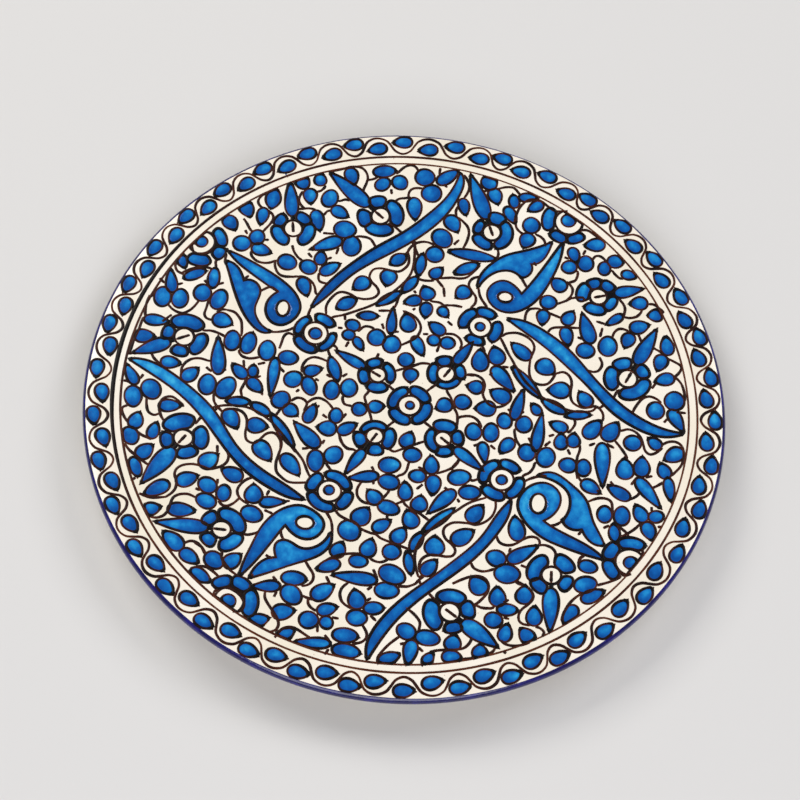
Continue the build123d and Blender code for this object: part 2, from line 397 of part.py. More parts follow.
def laid(faces, thickness=POOL, limit=BORDER_R - RING_STEP / 2 - RING_W / 2 - 0.3):
    """Small pools, one to a face, each tilted to lie on the dish and trimmed at the radius limit.

    A pool this small is flat underneath, so it sits on its rim, at most a few hundredths above the coat.
    """
    solids = []
    disc = Circle(limit).face()
    for face in faces:
        around = face.outer_wire().edges()[0]
        points = [around @ (i / 24) for i in range(24)]
        if max(math.hypot(p.X, p.Y) for p in points) > limit:
            face = (face & disc).faces().sort_by(SortBy.AREA)[-1]
        cx = face.center().X
        cy = face.center().Y
        reach = max(math.hypot(p.X - cx, p.Y - cy) for p in points)
        foot = Vector(cx, cy, sphere_z(math.hypot(cx, cy)))
        up = (Vector(0, 0, DISH_Z) - foot).normalized()
        across = Vector(up.Z, 0, -up.X).normalized()
        seat = Plane(origin=foot + up * (reach**2 / (2 * DISH_R)), x_dir=across, z_dir=up)
        placed_face = seat * (Pos(-cx, -cy, 0) * face)
        solids.append(Solid.extrude(placed_face.face(), up * thickness))
    return solids


def save(name, solids):
    """One node: its solids in one STEP file."""
    solids = list(solids)
    shape = solids[0] if len(solids) == 1 else Compound(children=solids)
    shape.label = name
    export_step(shape, f"parts/{name}.step")


# ---- the clay and its coats ----
def lip_point(degrees, r=LIP_R):
    """A point on the rounded lip."""
    px, pz = polar(r, degrees)
    return (LIP_X + px, LIP_Z + pz)


def profile():
    """Half of the coated plate's section, from the axis out over the lip and back under to the axis."""
    foot_r = FOOT_D / 2
    shoulder = (foot_r, CENTRE_Z + foot_r**2 / (2 * DISH_R) - SHOULDER_T)
    well_z = CENTRE_Z - WELL_T
    meet_x = LIP_X * DISH_R / (DISH_R + LIP_R)
    meet = (meet_x, DISH_Z - math.sqrt(DISH_R**2 - meet_x**2))
    reach = math.hypot(LIP_X - shoulder[0], LIP_Z - shoulder[1])
    slope = math.atan2(LIP_Z - shoulder[1], LIP_X - shoulder[0]) - math.asin(LIP_R / reach)
    under = lip_point(math.degrees(slope) - 90)
    with BuildLine() as line:
        ThreePointArc((0, CENTRE_Z), (meet_x / 2, DISH_Z - math.sqrt(DISH_R**2 - meet_x**2 / 4)), meet)
        ThreePointArc(meet, lip_point(0), under)
        Line(under, shoulder)
        Polyline(
            shoulder,
            (foot_r - 0.4, 0),
            (foot_r - FOOT_W + 0.6, 0),
            (foot_r - FOOT_W - 0.6, well_z),
            (0, well_z),
            (0, CENTRE_Z),
        )
    outline = make_face(line.line)
    rounded = outline
    for where, radius in (
        (shoulder, 5.0),
        ((foot_r - 0.4, 0), 1.6),
        ((foot_r - FOOT_W + 0.6, 0), 1.6),
        ((foot_r - FOOT_W - 0.6, well_z), 4.0),
    ):
        near = rounded.vertices().sort_by_distance(Vector(*where))[0]
        rounded = fillet(near, radius)
    return rounded


def box2d(x0, z0, x1, z1):
    """A rectangle in the plane of the section."""
    return Pos((x0 + x1) / 2, (z0 + z1) / 2) * Rectangle(x1 - x0, z1 - z0)


def fan(a0, a1, reach):
    """A wedge about the middle of the lip, between two directions."""
    far = [lip_point(a, reach) for a in (a0, (a0 + a1) / 2, a1)]
    return make_face(Polyline((LIP_X, LIP_Z), *far, (LIP_X, LIP_Z)))


section = profile()
mirrored = mirror(section, Plane.YZ)
whole = section + mirrored
half = box2d(0, -5, PLATE_R + 5, HEIGHT + 5)
core = offset(whole, -COAT) & half
foot_r = FOOT_D / 2
bare = box2d(foot_r - FOOT_W - 3, -1, foot_r + 3, FOOT_BARE)
band_zone = fan(-52, 58, 3 * LIP_T)
face_zone = box2d(-1, CENTRE_Z - 2, LIP_X, HEIGHT + 2) + fan(58, 90, 2 * LIP_T)

coats = section - core - bare
rim_2d = coats & band_zone
rest = coats - rim_2d
face_2d = rest & face_zone
under_2d = rest - face_zone
well_2d = under_2d & box2d(-1, -1, foot_r - FOOT_W / 2, HEIGHT)
back_2d = under_2d - box2d(-1, -1, foot_r - FOOT_W / 2, HEIGHT)
clay_2d = core + (section & bare)


def turned(sketch):
    """The solids that a section makes when it is turned on the wheel."""
    upright = Plane.XZ * sketch
    return revolve(upright, Axis.Z).solids()


save("clay_body", turned(clay_2d))
save("face_ground", turned(face_2d))
save("lip_band", turned(rim_2d))
save("back_glaze", turned(back_2d))
save("well_glaze", turned(well_2d))

# ---- the brown lines of the border ----
for name, middle in (("ring_line_inner", -RING_STEP / 2), ("ring_line_outer", RING_STEP / 2)):
    outer = Circle(BORDER_R + middle + RING_W / 2)
    inner = Circle(BORDER_R + middle - RING_W / 2)
    save(name, followed([(outer - inner).face()], LINE_LAYER))


def vine_point(index, offset_r):
    """The vine runs outside an inner leaf, inside an outer leaf and crosses between the two."""
    leaves = border_directions()
    leaf = index // 3
    here = leaves[leaf % len(leaves)]
    there = leaves[(leaf + 1) % len(leaves)] + (360 if leaf + 1 >= len(leaves) else 0)
    part = (-0.14, 0.14, 0.5)[index % 3]
    swing = 4.8 if leaf % 2 == 0 else -4.8
    swing = 0 if index % 3 == 2 else swing
    return polar(BORDER_R + 8.9 + swing + offset_r, here + (there - here) * part)


def border_directions():
    """Directions of all border leaves in turn, an inner one first."""
    both = []
    for i, here in enumerate(BORDER_LEAVES):
        after = BORDER_LEAVES[(i + 1) % len(BORDER_LEAVES)]
        after += 360 if after < here else 0
        both += [here, (here + after) / 2]
    return both


vine_count = 3 * 2 * len(BORDER_LEAVES)
middle_line = [vine_point(i, 0) for i in range(vine_count)]


def beside(points, distance):
    """The points of a closed line moved sideways."""
    moved = []
    for i, (x, y) in enumerate(points):
        ax, ay = points[i - 1]
        bx, by = points[(i + 1) % len(points)]
        size = math.hypot(bx - ax, by - ay)
        moved.append((x + distance * (by - ay) / size, y - distance * (bx - ax) / size))
    return moved


vine_outer = closed_face(beside(middle_line, VINE_W / 2))
vine_inner = closed_face(beside(middle_line, -VINE_W / 2))
save("border_vine", followed([(vine_outer - vine_inner).face()], LINE_LAYER))

inner_leaves = []
outer_leaves = []
for i, direction in enumerate(border_directions()):
    r = INNER_LEAF_R if i % 2 == 0 else OUTER_LEAF_R
    x, y = polar(r, direction)
    tip = direction + 90 + (10 if i % 2 == 0 else 4)
    outline = brush_pool(x, y, 10.6, 7.4, tip, 0.55)
    (inner_leaves if i % 2 == 0 else outer_leaves).append(closed_face(outline))
save("border_leaves_inner", laid(inner_leaves, limit=LIP_X - 0.1))
save("border_leaves_outer", laid(outer_leaves, limit=LIP_X - 0.1))

# ---- the pools of the pattern ----
TIPS = {"berries": (BERRIES, 0.12), "leaflets": (LEAFLETS, 0.55), "drops": (DROPS, 1.1)}
for name, (rows, point) in TIPS.items():
    faces = [closed_face(scaled(brush_pool(*row, point))) for row in rows]
    save(name, laid(faces))
save("spindles", laid([closed_face(scaled(spindle(*row))) for row in SPINDLES]))
save("lobed_leaves", laid([closed_face(scaled(spindle(*row))) for row in LOBES]))

long_leaves = [cornered_face([scaled(edge) for edge in leaf]) for leaf in LONG_LEAVES]
save("long_leaves", followed(long_leaves, POOL_LAYER))
wings = [cornered_face([scaled(edge) for edge in wing]) for wing in WINGS]
save("scroll_wings", followed(wings, POOL_LAYER))
hooks = []
for outer, inner, (x, y, rx, ry, turn) in HOOKS:
    around = [(x + rx * math.cos(math.pi * i / 6), y + ry * math.sin(math.pi * i / 6)) for i in range(12)]
    curl = cornered_face([scaled(outer), scaled(inner)])
    hooks.append((curl - closed_face(scaled(around))).face())
save("scroll_hooks", followed(hooks, POOL_LAYER))

# ---- flowers: petals about an eye ----
for name, rows in (("centre", CENTRE_FLOWER), ("ring", RING_FLOWERS), ("rim", RIM_FLOWERS)):
    petals = []
    eyes = []
    for x, y, eye_r, (dot_x, dot_y, dot_r), leaves in rows:
        petals += [closed_face(scaled(petal(x, y, eye_r, *leaf))) for leaf in leaves]
        eyes.append(closed_face(scaled(brush_pool(dot_x, dot_y, 2 * dot_r, 2 * dot_r, 0, 0))))
    save(f"{name}_flower_petals", laid(petals))
    save(f"{name}_flower_eyes", laid(eyes))

petals = []
drops = []
pistils = []
for x, y, eye_r, (direction, start, end, width), leaves in PISTIL_FLOWERS:
    petals += [closed_face(scaled(petal(x, y, eye_r, *leaf))) for leaf in leaves]
    dx, dy = polar((start + end) / 2, direction)
    drops.append(closed_face(scaled(brush_pool(x + dx, y + dy, end - start, width, direction, 1.1))))
    px, py = polar(eye_r * 0.2, direction)
    pistils.append(closed_face(scaled(spindle(x + px, y + py, eye_r * 1.3 + 1.2, 2.4, direction))))
save("pistil_flower_petals", laid(petals))
save("pistil_flower_drops", laid(drops))
save("pistils", laid(pistils, LINE_POOL))
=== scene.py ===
"""Hand painted ceramic plate: the visual model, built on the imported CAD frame.

The clay body stays as the CAD node. The coats are remade as smooth turned shells, every pool of blue glaze
is a domed pool inside its CAD outline, and the brown brushwork is laid over both.
"""
import math
import random

import bmesh
import bpy
import numpy as np
from mathutils import Matrix, Vector
from mathutils.geometry import delaunay_2d_cdt


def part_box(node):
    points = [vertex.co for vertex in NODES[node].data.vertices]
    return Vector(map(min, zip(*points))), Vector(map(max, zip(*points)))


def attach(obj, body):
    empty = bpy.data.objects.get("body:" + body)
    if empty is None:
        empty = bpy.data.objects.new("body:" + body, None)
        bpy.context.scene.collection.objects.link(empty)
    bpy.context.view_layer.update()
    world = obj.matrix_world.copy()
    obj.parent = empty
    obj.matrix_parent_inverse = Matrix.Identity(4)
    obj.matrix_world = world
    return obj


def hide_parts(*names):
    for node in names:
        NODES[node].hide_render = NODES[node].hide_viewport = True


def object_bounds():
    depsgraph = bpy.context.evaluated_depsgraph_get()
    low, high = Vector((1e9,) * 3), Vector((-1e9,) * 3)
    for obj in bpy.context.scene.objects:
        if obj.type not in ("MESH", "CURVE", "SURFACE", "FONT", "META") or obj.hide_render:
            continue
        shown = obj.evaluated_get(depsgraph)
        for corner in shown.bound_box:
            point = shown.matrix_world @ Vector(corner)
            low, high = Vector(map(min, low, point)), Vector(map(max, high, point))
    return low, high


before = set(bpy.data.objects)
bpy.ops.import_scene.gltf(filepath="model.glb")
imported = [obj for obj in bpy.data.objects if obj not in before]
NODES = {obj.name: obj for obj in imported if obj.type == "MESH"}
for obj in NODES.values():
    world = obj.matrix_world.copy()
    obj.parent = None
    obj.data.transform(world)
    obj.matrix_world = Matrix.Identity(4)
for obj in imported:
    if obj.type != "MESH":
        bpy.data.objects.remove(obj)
cad_low, cad_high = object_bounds()

MM = 0.001

# ---- sizes in millimetres: the frame gives the plate's box, and the rest are the part's own values ----
PLATE_R = (cad_high.x - cad_low.x) / 2 / MM
HEIGHT = cad_high.z / MM
COAT = 0.35
DISH_SAG = 4.2
LIP_T = 5.0
LIP_R = LIP_T / 2
LIP_X = PLATE_R - LIP_R
CENTRE_Z = HEIGHT - DISH_SAG
DISH_R = (LIP_X**2 + DISH_SAG**2) / (2 * DISH_SAG)
DISH_Z = CENTRE_Z + DISH_R
LIP_Z = DISH_Z - math.sqrt((DISH_R + LIP_R) ** 2 - LIP_X**2)
MEET_R = LIP_X * DISH_R / (DISH_R + LIP_R)
BORDER_GAP = 16.6
BORDER_R = PLATE_R - BORDER_GAP
FOOT_R = 95.0
FOOT_W = 7.0

# ---- brushwork, in millimetres from the centre of the face ----
# each stroke is x and y of its points in turn, from where it starts
TENDRILS = [
    (-5.7, 6.2, -9.8, 9.4), (10.2, 8.5, 13.8, 12.1), (10, -9.3, 13.8, -12), (-4.8, -10.6, -8.2, -14.3),
    (-6.6, 18, -2.1, 20, 0.9, 21.2, 5.6, 23.7, 9.7, 23.9),
    (-19.4, 3.9, -20.7, 1.6, -19.8, -1.5, -18.5, -4.7, -17.1, -7.9, -16.2, -10.6),
    (-31.6, -0.6, -30.3, -3.8, -27.1, -4.5), (-31.2, -21.1, -28.9, -26.1, -26.2, -28.4, -23, -28.8),
    (-7.1, -25.6, -3.5, -27.5, -0.3, -26.1, 4.7, -23.4, 10.2, -20.6),
    (20.2, 8.9, 22.5, 5.3, 23.8, 1.2, 26.1, -3.4, 26.5, -9.3), (26.1, -5.6, 28, -4.4, 30.6, -3.6, 33, -3.6),
    (28.8, 19.8, 33, 19.8), (29.3, -28.4, 26, -33.3),
    (-7, 88, -5.7, 83.9, -6.2, 79.8, -9.4, 76.2, -13, 75.7, -19.4, 76.6, -23.5, 75.3, -25, 71.2, -23.5, 68,
     -20.7, 65.3, -19.4, 62.1, -21.6, 58.9, -26.2, 57.5, -30.3, 57.8), (-26.2, 93, -23.2, 88.5),
    (-1.6, 73.5, 2.5, 72.1, 7.5, 72.5), (11.5, 74.4, 17, 75.3, 21.5, 75.3, 25.6, 77.1, 30.6, 83.9),
    (31.1, 77.5, 27.5, 75.7, 26.1, 72.1, 27.9, 68.5, 30.2, 65.3, 30.2, 61.6, 28.4, 58.9),
    (7.9, 60.3, 12, 60, 14.3, 58.5), (14.3, 58.5, 19.3, 59.1, 23.8, 58.7),
    (-8.5, 63.5, -9.8, 56.6, -10.7, 54.4), (-18.5, 51.6, -13, 52.3),
    (-5.7, 53, -0.3, 50.7, 2.9, 47.1, 3.8, 43, 2, 38.5, -1.2, 35.7, -5.3, 33),
    (-27.5, 38.5, -25.3, 41.2, -23, 41.9, -20.3, 41.2),
    (16.5, 42.1, 20.6, 42.3, 23.8, 40.3, 25.2, 37.1, 24.7, 34.4), (-16, 27, -17, 24),
    (-3.5, 93, -3.9, 75.7, -12.5, 63, -21.6, 54.8, -33, 48.5), (52.5, 79.4, 56, 73.5),
    (31, 71.6, 32.5, 65.7, 36.1, 60.3),
    (45.2, 43.9, 47.5, 45.7, 52.5, 46.6, 57, 45.3, 60.6, 42.5, 62, 38.5, 60.6, 33),
    (44.7, 42.5, 48.8, 34.8, 52.8, 28), (34.7, 38.9, 37, 34.4),
    (56.1, 53.5, 56.5, 58.5, 58.4, 61.2, 62.9, 61.9), (67, 60.3, 73.4, 58),
    (67.9, 48, 70.2, 51.2, 75.6, 52.3, 80.6, 52.5, 85.6, 52.8),
    (72, 65.7, 76.5, 68, 79.3, 69.8, 84.7, 70.7), (76.5, 78.9, 79.3, 75.3, 78.8, 71.2, 76.5, 68),
    (77.5, 78.9, 80.6, 80.7, 81.5, 85.3),
    (28.5, 19.5, 31, 20.2, 34.5, 19.8, 37.2, 18, 38.6, 15, 38.4, 12, 38, 9.5, 39.5, 6.3, 42, 3.8, 45.5, 3,
     48.8, 4.2, 51.3, 6.5), (27, -5, 29.5, -4, 33, -3.6, 36.3, -5.3, 38.6, -8.8),
    (55.2, -9, 55.6, -12, 56.4, -14.5, 58, -17, 59.5, -19),
    (60.4, 33, 60.2, 26, 61, 21.8, 63, 19, 66.5, 18, 69.8, 18.8, 72, 21.5, 73.6, 25.5),
    (74, 25.3, 77, 26.4, 79.6, 25.5, 81.5, 22.8, 82, 19.5, 81.6, 15.5, 82, 12, 83.2, 9.5, 85.7, 7.8, 88.8,
     7, 92, 7.8), (84.5, 0, 85, -2.2, 84, -4.8, 82, -7.5),
    (88, -14.5, 88, -17.5, 87, -21.5, 87, -28, 87.7, -33), (105.3, 18.6, 103, 13.2),
    (90, 28.6, 92.2, 28, 94.8, 28.8, 96.4, 31.4, 96.5, 34, 95, 36.8),
    (112.8, 5.8, 114.6, 10.2, 117.5, 14.7, 121, 16.6, 124.5, 15.7, 127, 13.8),
    (133.2, 28.8, 135.2, 31, 136.6, 34, 135.8, 36, 133, 37.6, 129, 39.5),
    (134, 28.5, 137, 25, 138.6, 20, 139, 16), (106, -11, 109, -14.8, 111.5, -18.8),
    (108.3, -4, 111.3, -3, 114.6, -3.8, 117.6, -6.6, 119.2, -10.5, 120.2, -14, 122.6, -16, 125.5, -15,
     128.5, -12),
    (128.5, -10.2, 131.2, -8.4, 134.6, -7.8, 137.6, -9.2, 139.2, -12.5, 139.3, -17, 138, -21.5, 134, -26.6),
    (99, 88, 100.6, 86, 103, 84, 105, 84), (104, 71, 105.6, 69, 106.7, 66, 106.2, 61.8),
    (105.5, 61.5, 109, 61, 112.5, 62, 114.6, 64.3, 115.5, 66.8),
    (118, 70, 121, 70.1, 123.5, 68.6, 126.3, 66), (101, 49, 102, 52, 104, 54, 106.6, 54.2, 109.3, 53),
    (114.3, 51.5, 116, 47.5), (120.5, 45.6, 123, 44.2, 125.6, 42.8, 128, 41),
    (95, 7.8, 92.5, 5.5, 86, 4.5, 80, 5.4, 74, 8, 68, 10.8, 63, 15, 58, 20, 52.8, 28),
    (92, 7.6, 94, 8.5, 96.5, 7.5, 98.5, 4.5, 98.6, 1), (96.8, 7.8, 98.3, 9.2),
    (58.5, 105.8, 61, 104.6, 63, 102.5, 63.9, 99.4),
    (46.8, 111.5, 47.6, 117, 49.5, 122, 53, 126, 57.5, 126.8, 61.5, 125.2),
    (47.3, 112, 48, 109, 49.6, 106.8, 52.3, 105), (61, 125.2, 64, 123, 67, 121, 70, 120.9, 74, 121.5),
    (81.5, 110.4, 84.5, 111, 87.5, 109.5, 91, 106.8, 93.2, 104.9), (88.5, 93.5, 90, 95.8, 92.5, 96, 95, 94),
    (36.5, 131, 41, 132.6, 45, 132.6, 47.6, 130), (28, 128.5, 32.5, 129.7),
    (38.3, 96.3, 39.7, 93.5, 39.7, 90.5, 38, 88.7),
    (-16.5, 134.5, -14, 137.8, -11, 140, -8, 140, -6, 138, -5, 135.7),
    (-2.5, 126.8, -5.5, 126.8, -8, 125.8, -9.3, 123.5, -9.3, 120.6),
    (-16.3, 117.3, -14, 119.2, -11, 120, -8, 120.6), (-17.8, 104, -15, 102.3, -10.5, 98.6),
    (18.8, 137.2, 21.2, 133, 21.8, 129.5, 20.8, 126, 19.4, 123.2), (17, 118.5, 16, 115.5, 16.4, 112),
    (17.5, 111.5, 20, 109.5, 22.8, 106.5, 23.8, 102.5, 23, 97.5, 21.6, 93.6),
    (-7, 87, -6, 90, -3.5, 93.2, 0, 94.8, 3.5, 94.8, 6, 93.6), (-3.8, 92.4, -2.5, 89, -1.2, 86.5),
    (-33.5, 94, -30, 94.2, -27, 93.5, -25, 91.5, -23.5, 88.5),
    (-84.5, 112.8, -86.6, 109.5, -86.5, 107.3, -85, 105.3, -83, 104.4),
    (-81, 103.5, -78.5, 101.5, -77.8, 99, -78.8, 96, -81, 92.5, -82.5, 90), (-93, 97, -91, 94.5, -88.8, 91),
    (-53.2, 122, -54, 120.3, -55.5, 118.7, -57.5, 118),
    (-64.6, 117, -65.8, 113.5, -65.5, 110.8, -64, 108.5, -62.3, 107.2),
    (-66, 106.3, -63, 107, -60, 107.6, -57.3, 107.3, -55.6, 106), (-52, 104.8, -50.6, 107, -49, 107.7),
    (-44.8, 114, -42, 115.3, -39.8, 115),
    (-50, 131.6, -45, 133.6, -41, 135.5, -36, 135.7, -33, 133.5, -31.6, 130, -32, 126.5, -33, 123, -33.3,
     119.5), (-31.8, 128.4, -29, 129.3, -27, 130.6), (-50.8, 69.5, -50.8, 66.5, -49.5, 64.8, -46.5, 64.2),
    (-66.3, 84.5, -65, 81, -62.8, 78, -60.5, 76.3),
    (-86.8, 78, -86.2, 75.5, -83.5, 73, -80, 72.2, -76.5, 72.8, -74, 74.2, -72.6, 74.4),
    (-73.8, 74, -73.5, 70.5, -71.5, 67, -68.5, 65.7, -64, 66, -61.2, 66.5),
    (-61.2, 66.5, -57.5, 66.4, -54, 64.2, -52.2, 61.5, -51.2, 57.8),
    (-66, 54, -69.8, 56, -74.5, 58.5, -79.6, 55.4), (-60, 36.6, -63, 34.6, -68, 33, -72, 32.6),
    (-60, 32.5, -62.5, 33, -64.5, 31, -65.3, 27, -66, 23.6),
    (-30.3, 57.8, -34, 59.6, -38, 60.3, -41, 58.8, -44, 54.5, -45.2, 50.5, -44.8, 46.8),
    (-53.6, 45.5, -52.8, 49), (-41, 45.2, -36, 47, -30, 50, -26.5, 52),
    (-95, 42.4, -91, 41.6, -88.4, 39.2, -86.6, 36, -85.8, 29),
    (-111.8, 86.2, -108.5, 86, -106, 82.5, -106, 78.3, -109, 74.6, -113, 73.2, -116, 74, -117.2, 78),
    (-99.2, 78, -98.8, 77), (-99.2, 74.5, -99.4, 71), (-104, 69.3, -103.5, 67, -103.4, 65.5),
    (-124, 40.8, -122, 39, -119.5, 37.8, -116.5, 37.5, -113.5, 39.5, -111.5, 42, -110, 44.8),
    (-104.8, 46.5, -105.3, 42, -105.8, 38.5, -104.5, 36.3, -102, 35.6, -100, 36),
    (-99.5, 40.5, -97.5, 42.2, -95, 42.4),
    (-120, 60.7, -117, 63, -113, 65, -110, 65.8, -107, 65.5, -104.5, 64.8),
    (-123.8, 68, -124, 64.3, -122.6, 61.5, -120, 60.3), (-134.5, 45.5, -135.5, 40, -135.2, 34),
    (-134.3, 44.6, -132, 46.3), (-105, 29, -101, 29.3, -97, 28.3, -93.6, 26.8),
    (-86, 19.5, -84.5, 17.3, -82, 16.2, -79, 16.2, -75.5, 17.4),
    (-80.5, 4, -81.5, 0, -82.3, -2.5, -81.5, -5.4),
    (-95, -14, -92, -12.8, -88, -11.8, -83, -11.4, -77.5, -11.8, -71, -14.4, -65, -18.4, -60, -23.4, -55,
     -29.3, -51.5, -33.5), (-92.4, -13.4, -90, -15.6),
    (-89, -14.8, -86, -13.6, -82.5, -13.6, -79.5, -15, -77.5, -18, -77, -22, -77.2, -26, -76.3, -29.5, -74,
     -31, -71.5, -30.8, -69.5, -28.5, -67, -25.3, -64, -24.2, -61.5, -25.3, -59.5, -28.5, -59, -33),
    (-53.4, 12, -53.3, 15.5, -51.5, 19, -48.5, 20.8, -45, 20.6, -41, 19.3), (-42, 26.5, -40, 22),
    (-61.5, -10.3, -63.4, -14.4), (-56.8, -5.2, -54.5, -3.4, -52, -3.2, -50, -4.2, -48.8, -6, -49.8, -10),
    (-48.8, -5.4, -46, -2.8, -43, -2, -40, -3, -37.5, -5, -36, -6.8),
    (-31.3, -21, -29.8, -25, -27, -28.2, -25, -29), (-40, 29.3, -37.5, 27.8), (-138, 11.2, -141, 10.5),
    (-136, 32, -137, 26, -138.5, 20, -139.3, 15, -139.6, 11.3), (-128.6, 11.6, -127, 9.4, -123.4, 6.6),
    (-136.5, -18.3, -138.8, -20, -138.3, -23, -136.5, -26, -134.2, -28.2),
    (-127.8, -13.5, -127.3, -17, -126, -20.5, -123, -22, -120.3, -20.7),
    (-120.5, -20, -121, -15.5, -119.5, -12, -116, -10.6, -112.5, -12.2, -109.3, -15),
    (-120.4, -19, -119.5, -22, -116.6, -26), (-100.3, -20.8, -102, -23.8),
    (-112.8, 2.5, -113, 6, -111.5, 9.5, -108.5, 12, -104.5, 12.8, -100.2, 12),
    (-95.2, -6, -94.8, -10, -92.8, -13.4), (-92.5, -14, -94.3, -16),
    (0.3, -40.5, 2.5, -39.3, 3.8, -37, 4.4, -33.6),
    (18.6, -37.2, 22.5, -35.5, 26, -33.3, 28.3, -30.5, 28.8, -28),
    (3.8, -53.8, 4.5, -55.8, 8, -58.3, 12, -60, 15, -62, 17.4, -63.6), (-4, -50, -5.5, -52.5, -6.8, -54.4),
    (-17.6, -46, -19.3, -50, -18.8, -54, -16, -56.8, -12, -57.5, -8.6, -56.8), (1, -55.8, 3.8, -54),
    (-3.5, -62.6, -3.2, -65.4),
    (-29, -62.8, -26.5, -65.5, -22, -67.6, -18, -69, -15.5, -71.5, -11, -73.2, -8, -73.7, -5.5, -75.5, -1,
     -77, 4, -78.5, 9, -80), (-31, -90.8, -27, -88, -21, -85.8, -15, -85),
    (-10, -86.5, -7.5, -88, -4.5, -88.4, -1.8, -87.2, -0.5, -85.5),
    (48.5, -48.8, 48.8, -53, 47.5, -57.5, 44.5, -61, 40, -63.3, 36, -62.8, 30, -63, 27, -64.2, 24.8, -66.5,
     24.5, -69.5, 26, -72.5, 29, -75, 31, -78, 30, -81, 27, -81.9, 23, -81.7, 18.5, -82, 15.3, -84.5, 14.3,
     -88, 15, -91.5),
    (43.5, -48, 36, -51.5, 30, -56.5, 24, -62, 18, -68.5, 14, -74, 12, -80, 12, -86, 14.5, -94),
    (61.5, -37.5, 64, -35.6, 68, -33.8, 72, -32.8), (61.3, -33.8, 64, -32, 65.8, -29, 66.4, -26.5),
    (36.5, -39.3, 39.5, -37.8, 41.2, -35.8), (56, -47.5, 56.2, -50),
    (50.3, -68.3, 51.5, -71, 54, -72.5, 57.5, -72.5, 60.5, -71, 63, -69, 66, -67.2, 69, -67, 71, -68.3,
     71.4, -70.8), (70.5, -71.2, 74, -70.8, 77.5, -72, 79.3, -74.5, 79.3, -77.8),
    (39, -84, 40.5, -86.5, 43.5, -87.8, 46.5, -87.7, 50.3, -86.2), (60.5, -91.5, 63.5, -93, 66, -93),
    (82, -56.4, 79, -59, 75.5, -60.2), (93, -74.5, 91, -77, 91, -80), (87.6, -30, 88.5, -32.5, 90.8, -35.3),
    (125, -34.4, 127.5, -32.8, 129.8, -31), (118.8, -36.3, 117.8, -39, 115.5, -41, 113, -42.2),
    (109, -57.2, 111.3, -58.8, 113.6, -60.9), (110, -62.8, 113, -61, 116.5, -58.2, 119.5, -54.8),
    (93, -45.5, 96, -43.7, 99, -42.6, 102.5, -42.6, 104.8, -44, 105.5, -46.5, 105.7, -50),
    (120.4, -66, 121.4, -70.5, 120.6, -72.4), (111, -82, 113, -83.4, 116.2, -82.2),
    (111, -84.3, 106, -87.4, 100.5, -89.6), (92.9, -74.3, 91.1, -76.5, 90.6, -79),
    (-59.4, -27, -58.7, -30.6, -59.6, -36, -60.3, -40.6, -59.6, -45.2, -57, -48, -53.5, -50.2, -49.8,
     -50.4, -44.8, -49.7), (-52, -32.2, -47.5, -37.5, -44.4, -43.8, -43, -46),
    (-35.8, -38, -33.5, -41, -30.8, -44), (-33.5, -63.8, -30.3, -68.8, -29.1, -74.3, -29.2, -78),
    (-54, -76.8, -53, -80, -51.3, -82.4),
    (-86.2, -35.2, -83.9, -39.3, -84.1, -42.9, -86.2, -45.6, -88.9, -47, -92.1, -48.1, -96.2, -47, -100.7,
     -46.5, -105.3, -47.7, -108, -50.2, -108.5, -53.4, -107.1, -57, -107.1, -60.6, -108.5, -63.4, -111,
     -66), (-85.3, -65, -83.5, -66.8, -81, -67, -78.3, -65.3, -75.6, -62),
    (-70, -49.6, -74, -52, -76.8, -56, -77, -59.5, -75, -62.5, -71.5, -64.4),
    (-71.5, -81, -69.5, -81.3, -66.5, -80.3, -63.8, -78.8),
    (-99, -89.5, -96, -88, -93, -88.5, -90.5, -90.5, -88.8, -93.5), (-80.3, -89.4, -80.3, -93.5),
    (-130, -32.2, -127, -34, -122.6, -35.5),
    (-134.5, -40, -132, -43, -128.5, -45.5, -124, -48.5, -121, -50.2),
    (-124, -65.8, -118, -67.3, -111, -66),
    (-117.5, -77.5, -113.9, -77.7, -110.7, -76, -109, -73, -108.4, -69.7, -107.5, -66, -104.8, -63.8,
     -100.7, -63.1, -96.8, -64.4),
    (31, -96, 35, -93.5, 39, -91.5, 43, -90.6, 46.5, -91.8, 48.4, -95, 48.2, -98.5, 46.5, -101.5, 43.3,
     -105.3), (43.3, -106.3, 46, -107.2, 50.8, -106.9),
    (60.5, -90.8, 64.5, -92.8, 67.5, -94.5, 69.8, -97.5, 69.6, -100.5, 67.5, -103.5, 65, -106, 63.7, -109,
     64, -112, 65.8, -113.6, 69, -114), (72, -114.3, 74.5, -115.2, 76.2, -117, 75.6, -119.3),
    (56.2, -123.4, 58.5, -125, 62, -125.5, 66, -124.7, 69.5, -123),
    (92.6, -95, 89.5, -98, 87, -101.5, 85, -106, 84.2, -110),
    (25, -132, 31, -130.8, 35, -130.3, 39, -129, 41.5, -126, 42.3, -123, 41.5, -120.3),
    (38, -135, 43.5, -133.8), (53.6, -126.4, 53.3, -128.5, 51.5, -130.5, 49.3, -131.6),
    (57.5, -128.7, 59, -129.8), (6, -100.2, 9.7, -99.8, 13.2, -98, 14.8, -95.8, 17, -93.6),
    (14.8, -95.8, 16.2, -98.4),
    (-18.8, -101, -21.3, -104, -22, -107.5, -20.8, -111, -18.5, -113, -15.8, -114.2),
    (-9.8, -122.3, -7.5, -126, -7.5, -129, -9.5, -131.3, -13, -132.6),
    (10.3, -111.2, 13.5, -113.5, 16, -116, 17.3, -118.5, 17, -122.5),
    (7.5, -127, 4, -130.5, 1, -134.5, -0.9, -138, -0.6, -141.5), (20, -140.2, 20, -137.5),
    (23.4, -132.8, 27, -131.4), (20.2, -102.3, 23.5, -105.5, 25.8, -106.9),
    (-80.3, -89, -80.3, -94.5, -78.5, -97.5, -75, -101.3, -71, -103.8),
    (-94, -88.6, -90.5, -90.5, -88.3, -93.2),
